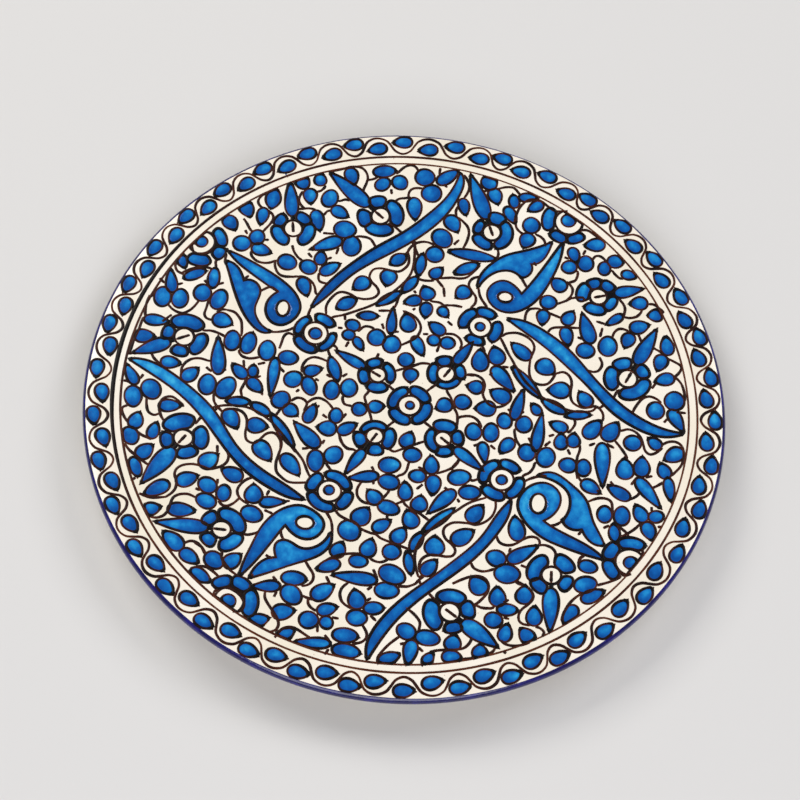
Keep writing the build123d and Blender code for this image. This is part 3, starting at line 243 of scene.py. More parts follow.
    (-40.6, -91.3, -38.5, -94.5, -36, -98, -35.5, -101, -37, -103.8, -40, -105.2),
    (-94, -102.4, -90, -100.8, -86.5, -101, -83, -103, -80, -105.4),
    (-81.6, -116, -81.2, -113, -78.5, -111, -74.5, -110.6, -70, -112.8, -67.3, -116, -66.6, -119, -68,
     -121.8, -71.5, -122.6),
    (-57.5, -111.3, -57, -114, -55, -117, -52.3, -120.5, -50, -124, -49.2, -127, -50.5, -129.8, -53.5,
     -131), (-50.2, -133.6, -47.5, -129, -44, -127.3, -40.5, -128, -36, -130.5, -33.5, -131.8),
    (-39.6, -110.4, -36, -111.5, -31.5, -111.8), (-36.6, -111.8, -36.5, -114, -35, -116, -32.6, -117.4),
]
TICKS = [
    (-16, 44.4, -14.8, 41.2), (-10, 40.2, -7, 40.7), (5.2, 40.7, 8, 41), (14, 35.3, 13, 31),
    (-1.6, 65.5, -0.3, 64), (-1.2, 54, 0, 55.3), (58.4, 89, 60, 87), (83.4, 47.3, 86.1, 46.4),
    (17, 49.5, 19.7, 47.3), (9.5, 73.3, 13.4, 68.9), (13.4, 68.9, 14.3, 63.5), (51, 2.5, 53, 1),
    (57.8, 1, 59.3, 1.9), (72.3, -10.7, 75, -9.5), (82, -17, 83.5, -20), (62.3, -12.5, 64, -15.5),
    (73.3, -13.5, 70.5, -16.5), (35.5, -20, 38, -18.7), (43.8, -18.7, 46.4, -20.8),
    (46.2, 26.3, 49.8, 26.3), (40.5, 20.7, 41.8, 22.5), (129, 2.5, 131.2, 5.5), (135, 9, 139.8, 8.8),
    (92.5, -14, 95.5, -12.3), (101, -12, 105, -14.2), (121, -29, 124.5, -28), (94.8, 48.5, 95.8, 54),
    (97, 56.3, 92.3, 57.5), (124.5, 25.5, 122.3, 21.2), (74, 93.7, 76.4, 92.8), (83.5, 96, 84.7, 99),
    (-18.8, 124.5, -18.2, 121.5), (5.5, 136.5, 5.7, 140.5), (8.3, 130.7, 10.3, 129), (16.5, 95, 19, 98.2),
    (-5.5, 94.8, -4, 92.5), (-91.3, 90.3, -90, 88), (-51.3, 93.8, -45.5, 94), (-42.5, 86, -43.3, 82),
    (-57.7, 81, -55.3, 78.5), (-47.5, 78.6, -45.3, 80), (-81, 85.8, -78.5, 86.2),
    (-54.5, 84.5, -57.6, 83.2), (-88.5, 61, -86.3, 63.8), (-38, 39.3, -35.5, 39.3), (-33, 28.7, -31.7, 32),
    (-35.2, 47, -34.8, 44), (-108.3, 58, -106, 55.7), (-101, 56.5, -98.3, 58), (-131, 56, -128, 53.5),
    (-121.8, 53.5, -118.8, 54.8), (-126.2, 31.2, -122, 35.8), (-75.7, 13.3, -72, 14.7),
    (-64.5, 13, -62, 10.3), (-82.3, 10.8, -83, 14.8), (-75.5, 5.8, -73.3, 6.8), (-72.3, -1.5, -71.3, -4),
    (-46.3, 8.6, -44.3, 7.8), (-53.5, 1.7, -55, 0), (-41, 11.8, -38.3, 10.5), (-33, 11.5, -30.5, 13.6),
    (-44, -8, -42.6, -6), (-39, -27.5, -38, -25), (-48.5, -31.3, -45, -30.5), (-40.5, -11, -38, -12.7),
    (-30.5, -12, -28.8, -9), (-131.3, 0, -132.7, -3), (-140.5, -4.8, -137.5, -5.2), (-101, 8.3, -98, 6),
    (-93, 7.5, -90.8, 8.2), (-13.5, -37, -12, -39.5), (-11.7, -44.5, -11.8, -46.8), (9.3, -34.7, 12.5, -36),
    (12.3, -44, 9.5, -47), (23, -44.5, 25.5, -46), (29.8, -50, 31, -52), (57.5, -74, 57, -76.5),
    (63, -82.7, 66, -83.7), (91.5, -61, 89.7, -63.7), (104, -32.8, 106, -35.5), (116, -30.8, 114.2, -33.8),
    (101.7, -58.8, 104.5, -57), (124.7, -45, 124.8, -47.8), (128, -55.8, 130, -55.2),
    (-59.5, -91, -56, -92.5), (-87.5, -53, -87.2, -55.7), (-97.5, -59.5, -95, -60.3),
    (-61.8, -56, -62.8, -59), (-63, -67, -58.8, -68.5), (-54.5, -61.3, -51.2, -60.6),
    (-127, -57.5, -129, -59.5), (-90, -34.5, -89.3, -39), (97.5, -38.4, 99.8, -39.6),
    (56, -103.5, 58.5, -101.6), (56.5, -111, 59.3, -111.8), (-7.5, -92.5, -5, -97),
    (-9.3, -103.7, -7, -101.5), (-9, -109.5, -7, -107.8), (-6.5, -117, -3.5, -119.5),
    (-29.5, -98.8, -27, -103), (-24.5, -120, -21.2, -120.3), (-31, -124.5, -30.5, -128.5),
    (-27, -129.5, -24.5, -132.3), (-26, -139.5, -24.3, -136.5), (8.8, -130.3, 11.5, -129.3),
    (17.5, -131, 20, -133), (-54.7, -101.8, -52.5, -104.5), (-53, -112.5, -52, -109.5),
    (-66, -104, -64.2, -101.8),
]

# eyes of the flowers, each ringed by a brown line: x, y, radius, half width of the line
RINGED_EYES = [
    (2.0, -0.8, 5.6, 0.65), (33.8, 48.2, 5.8, 0.65), (-49, 34.6, 6.3, 0.65), (50.6, -37.2, 5.9, 0.65),
    (-32.7, -53, 5.8, 0.65), (75, 114.8, 7.2, 0.7), (-112.3, 79.8, 6.9, 0.7), (115.3, -75.8, 6.9, 0.7),
    (-74, -117.2, 7.1, 0.7),
]
PISTIL_EYES = [
    (-15.4, 14.6, 4.1, 0.6), (18.8, 19.1, 4.4, 0.6), (-13.5, -20, 4.2, 0.6), (20.2, -17.9, 4.1, 0.6),
    (109.9, 25.8, 4.9, 0.7), (92.7, 72, 4.5, 0.7), (35.5, 104.5, 4.7, 0.7), (-22.8, 107.7, 4.8, 0.7),
    (-67, 94.5, 4.8, 0.7), (-114.2, 24, 5.0, 0.7), (78, -86.6, 4.7, 0.7), (-82.2, -80, 4.6, 0.7),
    (-107, -32.7, 4.8, 0.7), (31, -111.2, 4.9, 0.7),
]


# ---- small tools ----
# the mix node's colour sockets: factor, first and second colour, then the mixed colour
MIX_COLOUR_INPUTS = (0, 6, 7)
MIX_COLOUR_OUTPUT = 2


def linear(hex_colour):
    """An sRGB hex colour as linear RGBA."""
    values = [int(hex_colour[i : i + 2], 16) / 255 for i in (1, 3, 5)]
    return tuple(v / 12.92 if v <= 0.04045 else ((v + 0.055) / 1.055) ** 2.4 for v in values) + (1.0,)


def sphere_z(r):
    """Height of the face at a radius, with the lip's round beyond the dish."""
    if r <= MEET_R:
        return DISH_Z - math.sqrt(DISH_R**2 - r * r)
    return LIP_Z + math.sqrt(max(LIP_R**2 - (r - LIP_X) ** 2, 0.0))


def add_node(tree, kind, settings=None, **links):
    """Adds a node with its settings and links. A link's name is the input's, with _ for a space."""
    node = tree.nodes.new(kind)
    for key, value in (settings or {}).items():
        if key in node.inputs:
            node.inputs[key].default_value = value
        else:
            setattr(node, key, value)
    for key, source in links.items():
        tree.links.new(source, node.inputs[key.replace("_", " ")])
    return node


def ramp(tree, source, stops):
    """A colour ramp from a factor, with stops as (position, hex colour)."""
    node = add_node(tree, "ShaderNodeValToRGB", Fac=source)
    while len(node.color_ramp.elements) < len(stops):
        node.color_ramp.elements.new(0.5)
    for element, (position, colour) in zip(node.color_ramp.elements, stops):
        element.position = position
        element.color = linear(colour)
    return node.outputs["Color"]


def new_material(name, finish):
    """A node material, its tree and its shader, with the constant values of its finish."""
    material = bpy.data.materials.new(name)
    material.use_nodes = True
    tree = material.node_tree
    shader = tree.nodes["Principled BSDF"]
    for key, value in finish.items():
        shader.inputs[key].default_value = value
    return material, tree, shader


def place_on_piece(tree):
    """The point's place on its piece, in metres."""
    return add_node(tree, "ShaderNodeTexCoord").outputs["Object"]


def object_noise(tree, millimetres, detail=3.0, stretch=(1.0, 1.0, 1.0)):
    """Noise whose blobs are about that many millimetres across."""
    mapping = add_node(tree, "ShaderNodeMapping", {"Scale": stretch}, Vector=place_on_piece(tree))
    settings = {"Scale": 1.0 / (millimetres * MM), "Detail": detail}
    return add_node(tree, "ShaderNodeTexNoise", settings, Vector=mapping.outputs["Vector"]).outputs["Fac"]


def mixed(tree, factor, first, second):
    """Two colours mixed by a factor."""
    node = add_node(tree, "ShaderNodeMix", {"data_type": "RGBA"})
    for number, source in zip(MIX_COLOUR_INPUTS, (factor, first, second)):
        tree.links.new(source, node.inputs[number])
    return node.outputs[MIX_COLOUR_OUTPUT]


def maths(tree, operation, a, b=None, clamp=False):
    """One sum on factors. Each is a number or an output."""
    node = add_node(tree, "ShaderNodeMath", {"operation": operation, "use_clamp": clamp})
    for i, value in enumerate((a, b)):
        if value is None:
            continue
        if isinstance(value, (int, float)):
            node.inputs[i].default_value = value
        else:
            tree.links.new(value, node.inputs[i])
    return node.outputs[0]


def bump(tree, height, millimetres):
    """A bump whose full swing is that many millimetres."""
    settings = {"Strength": 1.0, "Distance": millimetres * MM}
    return add_node(tree, "ShaderNodeBump", settings, Height=height).outputs["Normal"]


def attribute(tree, name):
    """A number stored on the piece's own points."""
    return add_node(tree, "ShaderNodeAttribute", {"attribute_name": name}).outputs["Fac"]


# ---- materials ----
IRON_SPECK_SPACING = 9
IRON_SPECK_SIZE = 0.035
TURNING_RING = 3.2


def cream_ground_glaze():
    """Tin-white slip ground under clear glaze: warm, a little cloudy, with a few iron specks."""
    finish = {"Roughness": 0.22, "Coat Weight": 0.35, "Coat Roughness": 0.12, "IOR": 1.5}
    material, tree, shader = new_material("cream_slip_under_clear_glaze", finish)
    clouds = object_noise(tree, 38, 4)
    tone = ramp(tree, clouds, [(0.3, "#F0E6D0"), (0.5, "#F6ECDA"), (0.72, "#FAF2E4")])
    spacing = {"Scale": 1 / (IRON_SPECK_SPACING * MM)}
    specks = add_node(tree, "ShaderNodeTexVoronoi", spacing, Vector=place_on_piece(tree))
    speck = maths(tree, "LESS_THAN", specks.outputs["Distance"], IRON_SPECK_SIZE)
    iron = ramp(tree, speck, [(0.0, "#F2EBDD"), (1.0, "#8A6A4A")])
    colour = mixed(tree, maths(tree, "MULTIPLY", speck, 0.55), tone, iron)
    tree.links.new(colour, shader.inputs["Base Color"])
    # hand laid glaze waves slowly and has a fine orange peel
    slow = object_noise(tree, 26, 1)
    fine = object_noise(tree, 1.6, 2)
    height = maths(tree, "ADD", slow, maths(tree, "MULTIPLY", fine, 0.06))
    tree.links.new(bump(tree, height, 0.25), shader.inputs["Normal"])
    return material


def blue_pool_glaze():
    """Blue glaze trailed into brown outlines: deep where it is thick, turquoise where it is thin, and
    lighter toward one side of each pool as a painted highlight.
    """
    finish = {"Roughness": 0.16, "Specular IOR Level": 0.35, "IOR": 1.52}
    material, tree, shader = new_material("cobalt_turquoise_pool_glaze", finish)
    depth = attribute(tree, "inset")
    streaks = object_noise(tree, 4.2, 3, (1.0, 0.8, 1.0))
    patches = object_noise(tree, 8.0, 2)
    light = streaks
    # painted highlight: each pool is lighter toward the side that faces the lamps at the back
    painted_highlight = attribute(tree, "painted_highlight")
    pool = attribute(tree, "pool")
    shares = [(painted_highlight, 0.62), (pool, 0.2), (patches, 0.25), (depth, 0.11)]
    for source, share in shares:
        light = maths(tree, "ADD", light, maths(tree, "MULTIPLY", source, share))
    light = maths(tree, "SUBTRACT", light, 0.8)
    blues = [
        (0.12, "#00478E"), (0.36, "#045AA6"), (0.5, "#0868B2"), (0.64, "#147CC0"), (0.78, "#2090CE"),
        (0.95, "#3CACDC"),
    ]
    body = ramp(tree, light, blues)
    rim = ramp(tree, depth, [(0.0, "#062A66"), (0.35, "#0646A0"), (1.0, "#0658B4")])
    span = {"From Min": 0.1, "From Max": 1.1, "To Min": 0.0, "To Max": 1.0}
    from_edge = add_node(tree, "ShaderNodeMapRange", span, Value=depth).outputs["Result"]
    tree.links.new(mixed(tree, from_edge, rim, body), shader.inputs["Base Color"])
    tree.links.new(bump(tree, object_noise(tree, 2.2, 2), 0.05), shader.inputs["Normal"])
    return material


def iron_line_glaze():
    """Manganese and iron brown line: thin it is red brown, thick it is nearly black."""
    finish = {"Roughness": 0.35, "Specular IOR Level": 0.15}
    material, tree, shader = new_material("manganese_brown_line", finish)
    ink = attribute(tree, "ink")
    blotch = object_noise(tree, 5.0, 3)
    uneven = maths(tree, "MULTIPLY", maths(tree, "SUBTRACT", blotch, 0.5), 0.7)
    load = maths(tree, "ADD", ink, uneven, True)
    tone = ramp(tree, load, [(0.05, "#5A2A12"), (0.35, "#3A160A"), (0.65, "#190804"), (0.95, "#070303")])
    tree.links.new(tone, shader.inputs["Base Color"])
    return material


def cobalt_lip_glaze():
    """Cobalt banding brushed on while the plate turned, streaked along it."""
    finish = {"Roughness": 0.2, "Coat Weight": 0.25, "Coat Roughness": 0.08, "IOR": 1.52}
    material, tree, shader = new_material("banded_cobalt_lip_glaze", finish)
    streak = object_noise(tree, 7.0, 4, (1.0, 1.0, 5.0))
    tone = ramp(tree, streak, [(0.25, "#080440"), (0.5, "#100A58"), (0.68, "#1C1578"), (0.85, "#322C94")])
    tree.links.new(tone, shader.inputs["Base Color"])
    tree.links.new(bump(tree, object_noise(tree, 4.0, 2), 0.18), shader.inputs["Normal"])
    return material


def back_glaze_material():
    """The same ground on the back, thinner: the turning rings and the buff clay show through it."""
    finish = {"Roughness": 0.26, "Coat Weight": 0.3, "Coat Roughness": 0.15, "IOR": 1.5}
    material, tree, shader = new_material("thin_cream_back_glaze", finish)
    length = add_node(tree, "ShaderNodeVectorMath", {"operation": "LENGTH"}, Vector=place_on_piece(tree))
    turn = maths(tree, "MULTIPLY", length.outputs["Value"], 2 * math.pi / (TURNING_RING * MM))
    turns = maths(tree, "SINE", turn)
    clouds = object_noise(tree, 22, 4)
    mix = maths(tree, "ADD", clouds, maths(tree, "MULTIPLY", turns, 0.05))
    tone = ramp(tree, mix, [(0.3, "#D8C6A6"), (0.5, "#E7DBC4"), (0.7, "#EFE7D6")])
    tree.links.new(tone, shader.inputs["Base Color"])
    height = maths(tree, "ADD", maths(tree, "MULTIPLY", turns, 0.35), clouds)
    tree.links.new(bump(tree, height, 0.35), shader.inputs["Normal"])
    return material


def bare_clay():
    """Buff earthenware, turned and fired bare: dry and gritty."""
    material, tree, shader = new_material("bare_buff_earthenware", {"Roughness": 0.88})
    grit = object_noise(tree, 0.9, 4)
    tone = ramp(tree, object_noise(tree, 14, 4), [(0.3, "#B98F62"), (0.55, "#CBA678"), (0.75, "#D8B98E")])
    dark = ramp(tree, grit, [(0.3, "#A37C52"), (0.6, "#D2B084")])
    colour = mixed(tree, maths(tree, "MULTIPLY", grit, 0.5), tone, dark)
    tree.links.new(colour, shader.inputs["Base Color"])
    tree.links.new(bump(tree, grit, 0.12), shader.inputs["Normal"])
    return material


CREAM = cream_ground_glaze()
BLUE = blue_pool_glaze()
BROWN = iron_line_glaze()
COBALT = cobalt_lip_glaze()
BACK = back_glaze_material()
CLAY = bare_clay()


# ---- turned shells ----
def mesh_object(name, vertices, faces, material, values=None):
    """A mesh object from points in millimetres, with numbers stored on its points."""
    mesh = bpy.data.meshes.new(name)
    mesh.from_pydata([(x * MM, y * MM, z * MM) for x, y, z in vertices], [], faces)
    mesh.materials.append(material)
    mesh.polygons.foreach_set("use_smooth", [True] * len(mesh.polygons))
    for key, numbers in (values or {}).items():
        layer = mesh.attributes.new(key, "FLOAT", "POINT")
        layer.data.foreach_set("value", numbers)
    mesh.update()
    piece = bpy.data.objects.new(name, mesh)
    bpy.context.scene.collection.objects.link(piece)
    return piece


ON_AXIS = 1e-6


def turned(name, section, material, steps=360, wobble=None):
    """A closed shell turned from a closed section of (radius, height) points.

    wobble gives a shift along the section at an angle, for a hand drawn edge. Points at radius 0 become one.
    """
    vertices = []
    index = []
    for i, (r, z) in enumerate(section):
        if r < ON_AXIS:
            index.append([len(vertices)] * steps)
            vertices.append((0.0, 0.0, z))
            continue
        row = []
        for k in range(steps):
            angle = 2 * math.pi * k / steps
            rr, zz = wobble(i, angle, r, z) if wobble else (r, z)
            row.append(len(vertices))
            vertices.append((rr * math.cos(angle), rr * math.sin(angle), zz))
        index.append(row)
    faces = []
    for a, b in zip(index, index[1:] + index[:1]):
        for k in range(steps):
            n = (k + 1) % steps
            ring = [a[k], a[n], b[n], b[k]]
            ring = [v for j, v in enumerate(ring) if v != ring[j - 1]]
            if len(set(ring)) >= 3:
                faces.append(ring)
    return outward(mesh_object(name, vertices, faces, material))


def outward(piece):
    """Turns the faces of a closed piece outwards."""
    work = bmesh.new()
    work.from_mesh(piece.data)
    bmesh.ops.recalc_face_normals(work, faces=work.faces)
    work.to_mesh(piece.data)
    work.free()
    return piece


def lip_arc(a0, a1, r, count):
    """Points round the lip between two directions in degrees."""
    points = []
    for i in range(count + 1):
        angle = math.radians(a0 + (a1 - a0) * i / count)
        points.append((LIP_X + r * math.cos(angle), LIP_Z + r * math.sin(angle)))
    return points


def dish_arc(r0, r1, drop, count):
    """Points along the face, that far under it."""
    points = []
    for i in range(count + 1):
        r = r0 + (r1 - r0) * i / count
        points.append((r, DISH_Z - math.sqrt((DISH_R + drop) ** 2 - r * r)))
    return points


# directions round the lip in degrees, up from level: where the cobalt band starts and ends, and where the
# cream ground ends under it, sunk a little so that the two coats don't share a surface
BAND_TOP = 72.0
BAND_END = -52.0
GROUND_TOP = BAND_TOP - 12
GROUND_SINK = 0.06
BAND_STEPS = 20
# the wander of the band's edges: degrees, waves to a turn, phase
BAND_WAVES = [(2.6, 3, 1.0), (1.8, 8, 2.0), (0.8, 19, 0.0)]
MEET_ANGLE = math.degrees(math.acos((MEET_R - LIP_X) / LIP_R))


def cream_face():
    """The cream ground of the dish and of the inner side of the lip."""
    top = dish_arc(0.0, MEET_R, 0.0, 40) + lip_arc(MEET_ANGLE - 6, GROUND_TOP, LIP_R - GROUND_SINK, 8)
    under = lip_arc(GROUND_TOP, MEET_ANGLE, LIP_R - COAT, 8) + dish_arc(MEET_R, 0.0, COAT, 40)[1:]
    return turned("face_cream_ground", top + under, CREAM)


def hand_banded(i, angle, r, z):
    """Moves the two edges of the lip band in and out as a loaded brush would leave them."""
    place = i % (BAND_STEPS + 1) / BAND_STEPS
    weight = 1 - place if i <= BAND_STEPS else place
    shift = sum(size * math.sin(waves * angle + phase) for size, waves, phase in BAND_WAVES)
    c = math.cos(math.radians(shift * weight))
    s = math.sin(math.radians(shift * weight))
    return LIP_X + (r - LIP_X) * c - (z - LIP_Z) * s, LIP_Z + (r - LIP_X) * s + (z - LIP_Z) * c


def cobalt_band():
    """The cobalt band round the lip."""
    outer = lip_arc(BAND_TOP, BAND_END, LIP_R, BAND_STEPS)
    inner = lip_arc(BAND_END, BAND_TOP, LIP_R - COAT, BAND_STEPS)
    return turned("cobalt_lip_band", outer + inner, COBALT, 540, hand_banded)


face_ground = cream_face()
lip_band = cobalt_band()


# ---- outlines of the pools, read from the frame ----
FACES_UP = 0.8
SHARED_POINT = 2e-6
CORNER_TURN = 0.6


def loops_of(node):
    """Closed outlines of every pool's top in a CAD node, in millimetres, one list of loops to a pool."""
    work = bmesh.new()
    work.from_mesh(NODES[node].data)
    bmesh.ops.remove_doubles(work, verts=work.verts, dist=SHARED_POINT)
    work.normal_update()
    work.faces.ensure_lookup_table()
    tops = {f.index for f in work.faces if f.normal.z > FACES_UP}
    follow = {}
    for edge in work.edges:
        sides = [f for f in edge.link_faces if f.index in tops]
        if len(sides) != 1:
            continue
        loop = next(x for x in sides[0].loops if x.edge == edge)
        follow[loop.vert.index] = loop.link_loop_next.vert.index
    work.verts.ensure_lookup_table()
    where = {v.index: (v.co.x / MM, v.co.y / MM) for v in work.verts}
    work.free()
    loops = []
    while follow:
        start, nxt = follow.popitem()
        ring = [start]
        while nxt != start and nxt in follow:
            ring.append(nxt)
            nxt = follow.pop(nxt)
        if len(ring) > 5:
            loops.append(np.array([where[i] for i in ring]))
    outers = [p for p in loops if signed_area(p) > 0]
    holes = [p for p in loops if signed_area(p) <= 0]
    outers.sort(key=lambda p: (round(float(p[:, 1].mean()), 2), round(float(p[:, 0].mean()), 2)))
    return [[outer] + [h for h in holes if inside(outer, h.mean(0))] for outer in outers]


def signed_area(p):
    """Area inside a loop, above zero when it runs counterclockwise."""
    q = np.roll(p, -1, 0)
    return float((p[:, 0] * q[:, 1] - q[:, 0] * p[:, 1]).sum() / 2)


def inside(loop, point):
    """True if the point is inside the loop."""
    x, y = point
    a = loop
    b = np.roll(loop, -1, 0)
    crosses = (a[:, 1] > y) != (b[:, 1] > y)
    with np.errstate(divide="ignore", invalid="ignore"):
        at = (b[:, 0] - a[:, 0]) * (y - a[:, 1]) / (b[:, 1] - a[:, 1]) + a[:, 0]
    return bool((crosses & (x < at)).sum() % 2)


def resampled(loop, step):
    """The loop with points an even step apart, its facets softened and its corners kept."""
    closed = np.vstack([loop, loop[:1]])
    run = np.hypot(*(closed[1:] - closed[:-1]).T)
    along = np.concatenate([[0], np.cumsum(run)])
    count = max(16, int(round(along[-1] / step)))
    at = np.linspace(0, along[-1], count, endpoint=False)
    points = np.stack([np.interp(at, along, closed[:, k]) for k in (0, 1)], 1)
    for _ in range(2):
        before = points - np.roll(points, 1, 0)
        after = np.roll(points, -1, 0) - points
        turn = np.abs(np.angle((after[:, 0] + 1j * after[:, 1]) / (before[:, 0] + 1j * before[:, 1])))
        soft = np.where(turn < CORNER_TURN, 0.3, 0.0)[:, None]
        points = points * (1 - soft) + soft * (np.roll(points, 1, 0) + np.roll(points, -1, 0)) / 2
    return points


def pushed_out(points, distance):
    """The loop moved outwards by a distance."""
    tangent = np.roll(points, -1, 0) - np.roll(points, 1, 0)
    length = np.maximum(np.hypot(tangent[:, 0], tangent[:, 1]), 1e-9)[:, None]
    normal = np.stack([tangent[:, 1], -tangent[:, 0]], 1) / length
    return points + normal * distance


def distance_to(loops, points):
    """Distance from each point to the nearest of the loops' edges."""
    best = np.full(len(points), 1e9)
    for loop in loops:
        a = loop[None, :, :]
        d = (np.roll(loop, -1, 0) - loop)[None, :, :]
        w = points[:, None, :] - a
        t = np.clip((w * d).sum(2) / np.maximum((d * d).sum(2), 1e-12), 0, 1)
        gap = np.hypot(*np.moveaxis(w - t[:, :, None] * d, 2, 0))
        best = np.minimum(best, gap.min(1))
    return best


POOL_STEP = 0.75
POOL_RISE = 0.07
POOL_SINK = 0.05


GRID_X = 1.05
GRID_Y = 0.91
ROW_SHIFT = 0.52
EDGE_CLEAR = 0.75
RING_INSET = 0.4
RING_CLEAR = 0.3
DOME_RUN = 0.55
DEPTH_SHOWN = 3
# directions in degrees, toward the lamps at the back, between which each pool's painted highlight lies
HIGHLIGHT_DIRECTIONS = (40, 150)


def pool_net(edges):
    """Points and triangles that fill a pool: its edges, a ring just inside them and rows between."""
    outer = edges[0]
    low = outer.min(0)
    high = outer.max(0)
    grid_x = np.arange(low[0], high[0] + GRID_X, GRID_X)
    grid_y = np.arange(low[1], high[1] + GRID_Y, GRID_Y)
    gx, gy = np.meshgrid(grid_x, grid_y)
    gx = gx + ROW_SHIFT * (np.arange(len(grid_y)) % 2)[:, None]
    spots = np.stack([gx.ravel(), gy.ravel()], 1)
    spots = spots[[inside(outer, p) and not any(inside(h, p) for h in edges[1:]) for p in spots]]
    spots = spots[distance_to(edges, spots) > EDGE_CLEAR] if len(spots) else spots
    ring = pushed_out(outer, -RING_INSET)
    ring = ring[[inside(outer, p) for p in ring]]
    ring = ring[distance_to(edges, ring) > RING_CLEAR] if len(ring) else ring
    points = np.vstack([*edges, ring, spots])
    chain = []
    start = 0
    for edge in edges:
        chain += [(start + k, start + (k + 1) % len(edge)) for k in range(len(edge))]
        start += len(edge)
    net = delaunay_2d_cdt([Vector(p) for p in points], chain, [], 1, 1e-6)
    flat = np.array([(v.x, v.y) for v in net[0]])
    triangles = [list(f) for f in net[2]]
    for hole in edges[1:]:
        triangles = [f for f in triangles if not inside(hole, flat[f].mean(0))]
    used = sorted({k for f in triangles for k in f})
    renumber = {k: i for i, k in enumerate(used)}
    return flat[used], [[renumber[k] for k in f] for f in triangles]


def domed_pools(name, nodes, seed, spread=0.28):
    """One piece of closed, domed pools that fill the nodes' outlines and run a little under the line."""
    chance = random.Random(seed)
    vertices = []
    faces = []
    inset = []
    painted_highlight = []
    pool_tone = []
    for loops in [loops for node in nodes for loops in pools[node]]:
        edges = [pushed_out(resampled(loop, POOL_STEP), spread) for loop in loops]
        low = edges[0].min(0)
        high = edges[0].max(0)
        flat, triangles = pool_net(edges)
        depth = distance_to(edges, flat)
        # painted highlight: each pool lightens toward one side, picked between these directions
        direction = math.radians(chance.uniform(*HIGHLIGHT_DIRECTIONS))
        along = np.array([math.cos(direction), math.sin(direction)])
        lean = ((flat - (low + high) / 2) @ along) / (max(*(high - low)) / 2)
        tone = chance.random()
        base = len(vertices)
        count = len(flat)
        for (x, y), d in zip(flat, depth):
            rise = POOL_RISE * (1 - math.exp(-max(d, 0) / DOME_RUN))
            vertices.append((x, y, sphere_z(math.hypot(x, y)) + rise))
        for x, y in flat:
            vertices.append((x, y, sphere_z(math.hypot(x, y)) - POOL_SINK))
        sides = {(f[k], f[(k + 1) % 3]): True for f in triangles for k in range(3)}
        for f in triangles:
            faces.append([base + k for k in f])
            faces.append([base + count + k for k in reversed(f)])
        for a, b in sides:
            if (b, a) not in sides:
                faces.append([base + b, base + a, base + count + a, base + count + b])
        inset.extend(np.clip(depth, 0, DEPTH_SHOWN).tolist() * 2)
        # painted highlight: 0 on the side away from the lamps, 1 on the side toward them
        painted_highlight.extend(np.clip(0.5 + 0.5 * lean, 0, 1).tolist() * 2)
        pool_tone.extend([tone] * count * 2)
    return mesh_object(name, vertices, faces, BLUE, {"inset": inset, "painted_highlight": painted_highlight, "pool": pool_tone})


# ---- brown brushwork ----
def brush_line_tree():
    """Strokes of a liner brush: a flat bead that follows a curve, as wide as the curve's radius."""
    tree = bpy.data.node_groups.new("liner_brush_stroke", "GeometryNodeTree")
    sockets = {}
    for name, way, kind in (
        ("Geometry", "INPUT", "NodeSocketGeometry"),
        ("Bead height to half width", "INPUT", "NodeSocketFloat"),
        ("Bead sides", "INPUT", "NodeSocketInt"),
        ("Geometry", "OUTPUT", "NodeSocketGeometry"),
    ):
        sockets[name, way] = tree.interface.new_socket(name, in_out=way, socket_type=kind)
    way_in = add_node(tree, "NodeGroupInput")
    circle = add_node(
        tree, "GeometryNodeCurvePrimitiveCircle", {"Radius": 1.0}, Resolution=way_in.outputs["Bead sides"]
    )
    size = add_node(
        tree, "ShaderNodeCombineXYZ", {"X": 1.0, "Z": 1.0}, Y=way_in.outputs["Bead height to half width"]
    )
    bead = add_node(
        tree, "GeometryNodeTransform", Geometry=circle.outputs["Curve"], Scale=size.outputs["Vector"]
    )
    level = add_node(tree, "GeometryNodeSetCurveNormal", {"mode": "Z_UP"}, Curve=way_in.outputs["Geometry"])
    width = add_node(tree, "GeometryNodeInputRadius")
    swept = add_node(
        tree,
        "GeometryNodeCurveToMesh",
        {"Fill Caps": True},
        Curve=level.outputs["Curve"],
        Profile_Curve=bead.outputs["Geometry"],
        Scale=width.outputs["Radius"],
    )
    real = add_node(tree, "GeometryNodeRealizeInstances", Geometry=swept.outputs["Mesh"])
    coat = {"Material": BROWN}
    coated = add_node(tree, "GeometryNodeSetMaterial", coat, Geometry=real.outputs["Geometry"])
    add_node(tree, "NodeGroupOutput", Geometry=coated.outputs["Geometry"])
    inputs = [sockets[name, "INPUT"].identifier for name in ("Bead height to half width", "Bead sides")]
    return tree, inputs


STROKE_TREE, (FLATNESS_ID, SIDES_ID) = brush_line_tree()
LINE_RISE = 0.08
LINE_FLATNESS = 0.12
BEAD_SIDES = 8
# a line this fine, as half its width, carries no extra colour, and one this much wider carries all of it
THIN_LINE = 0.45
LINE_LOAD = 0.6


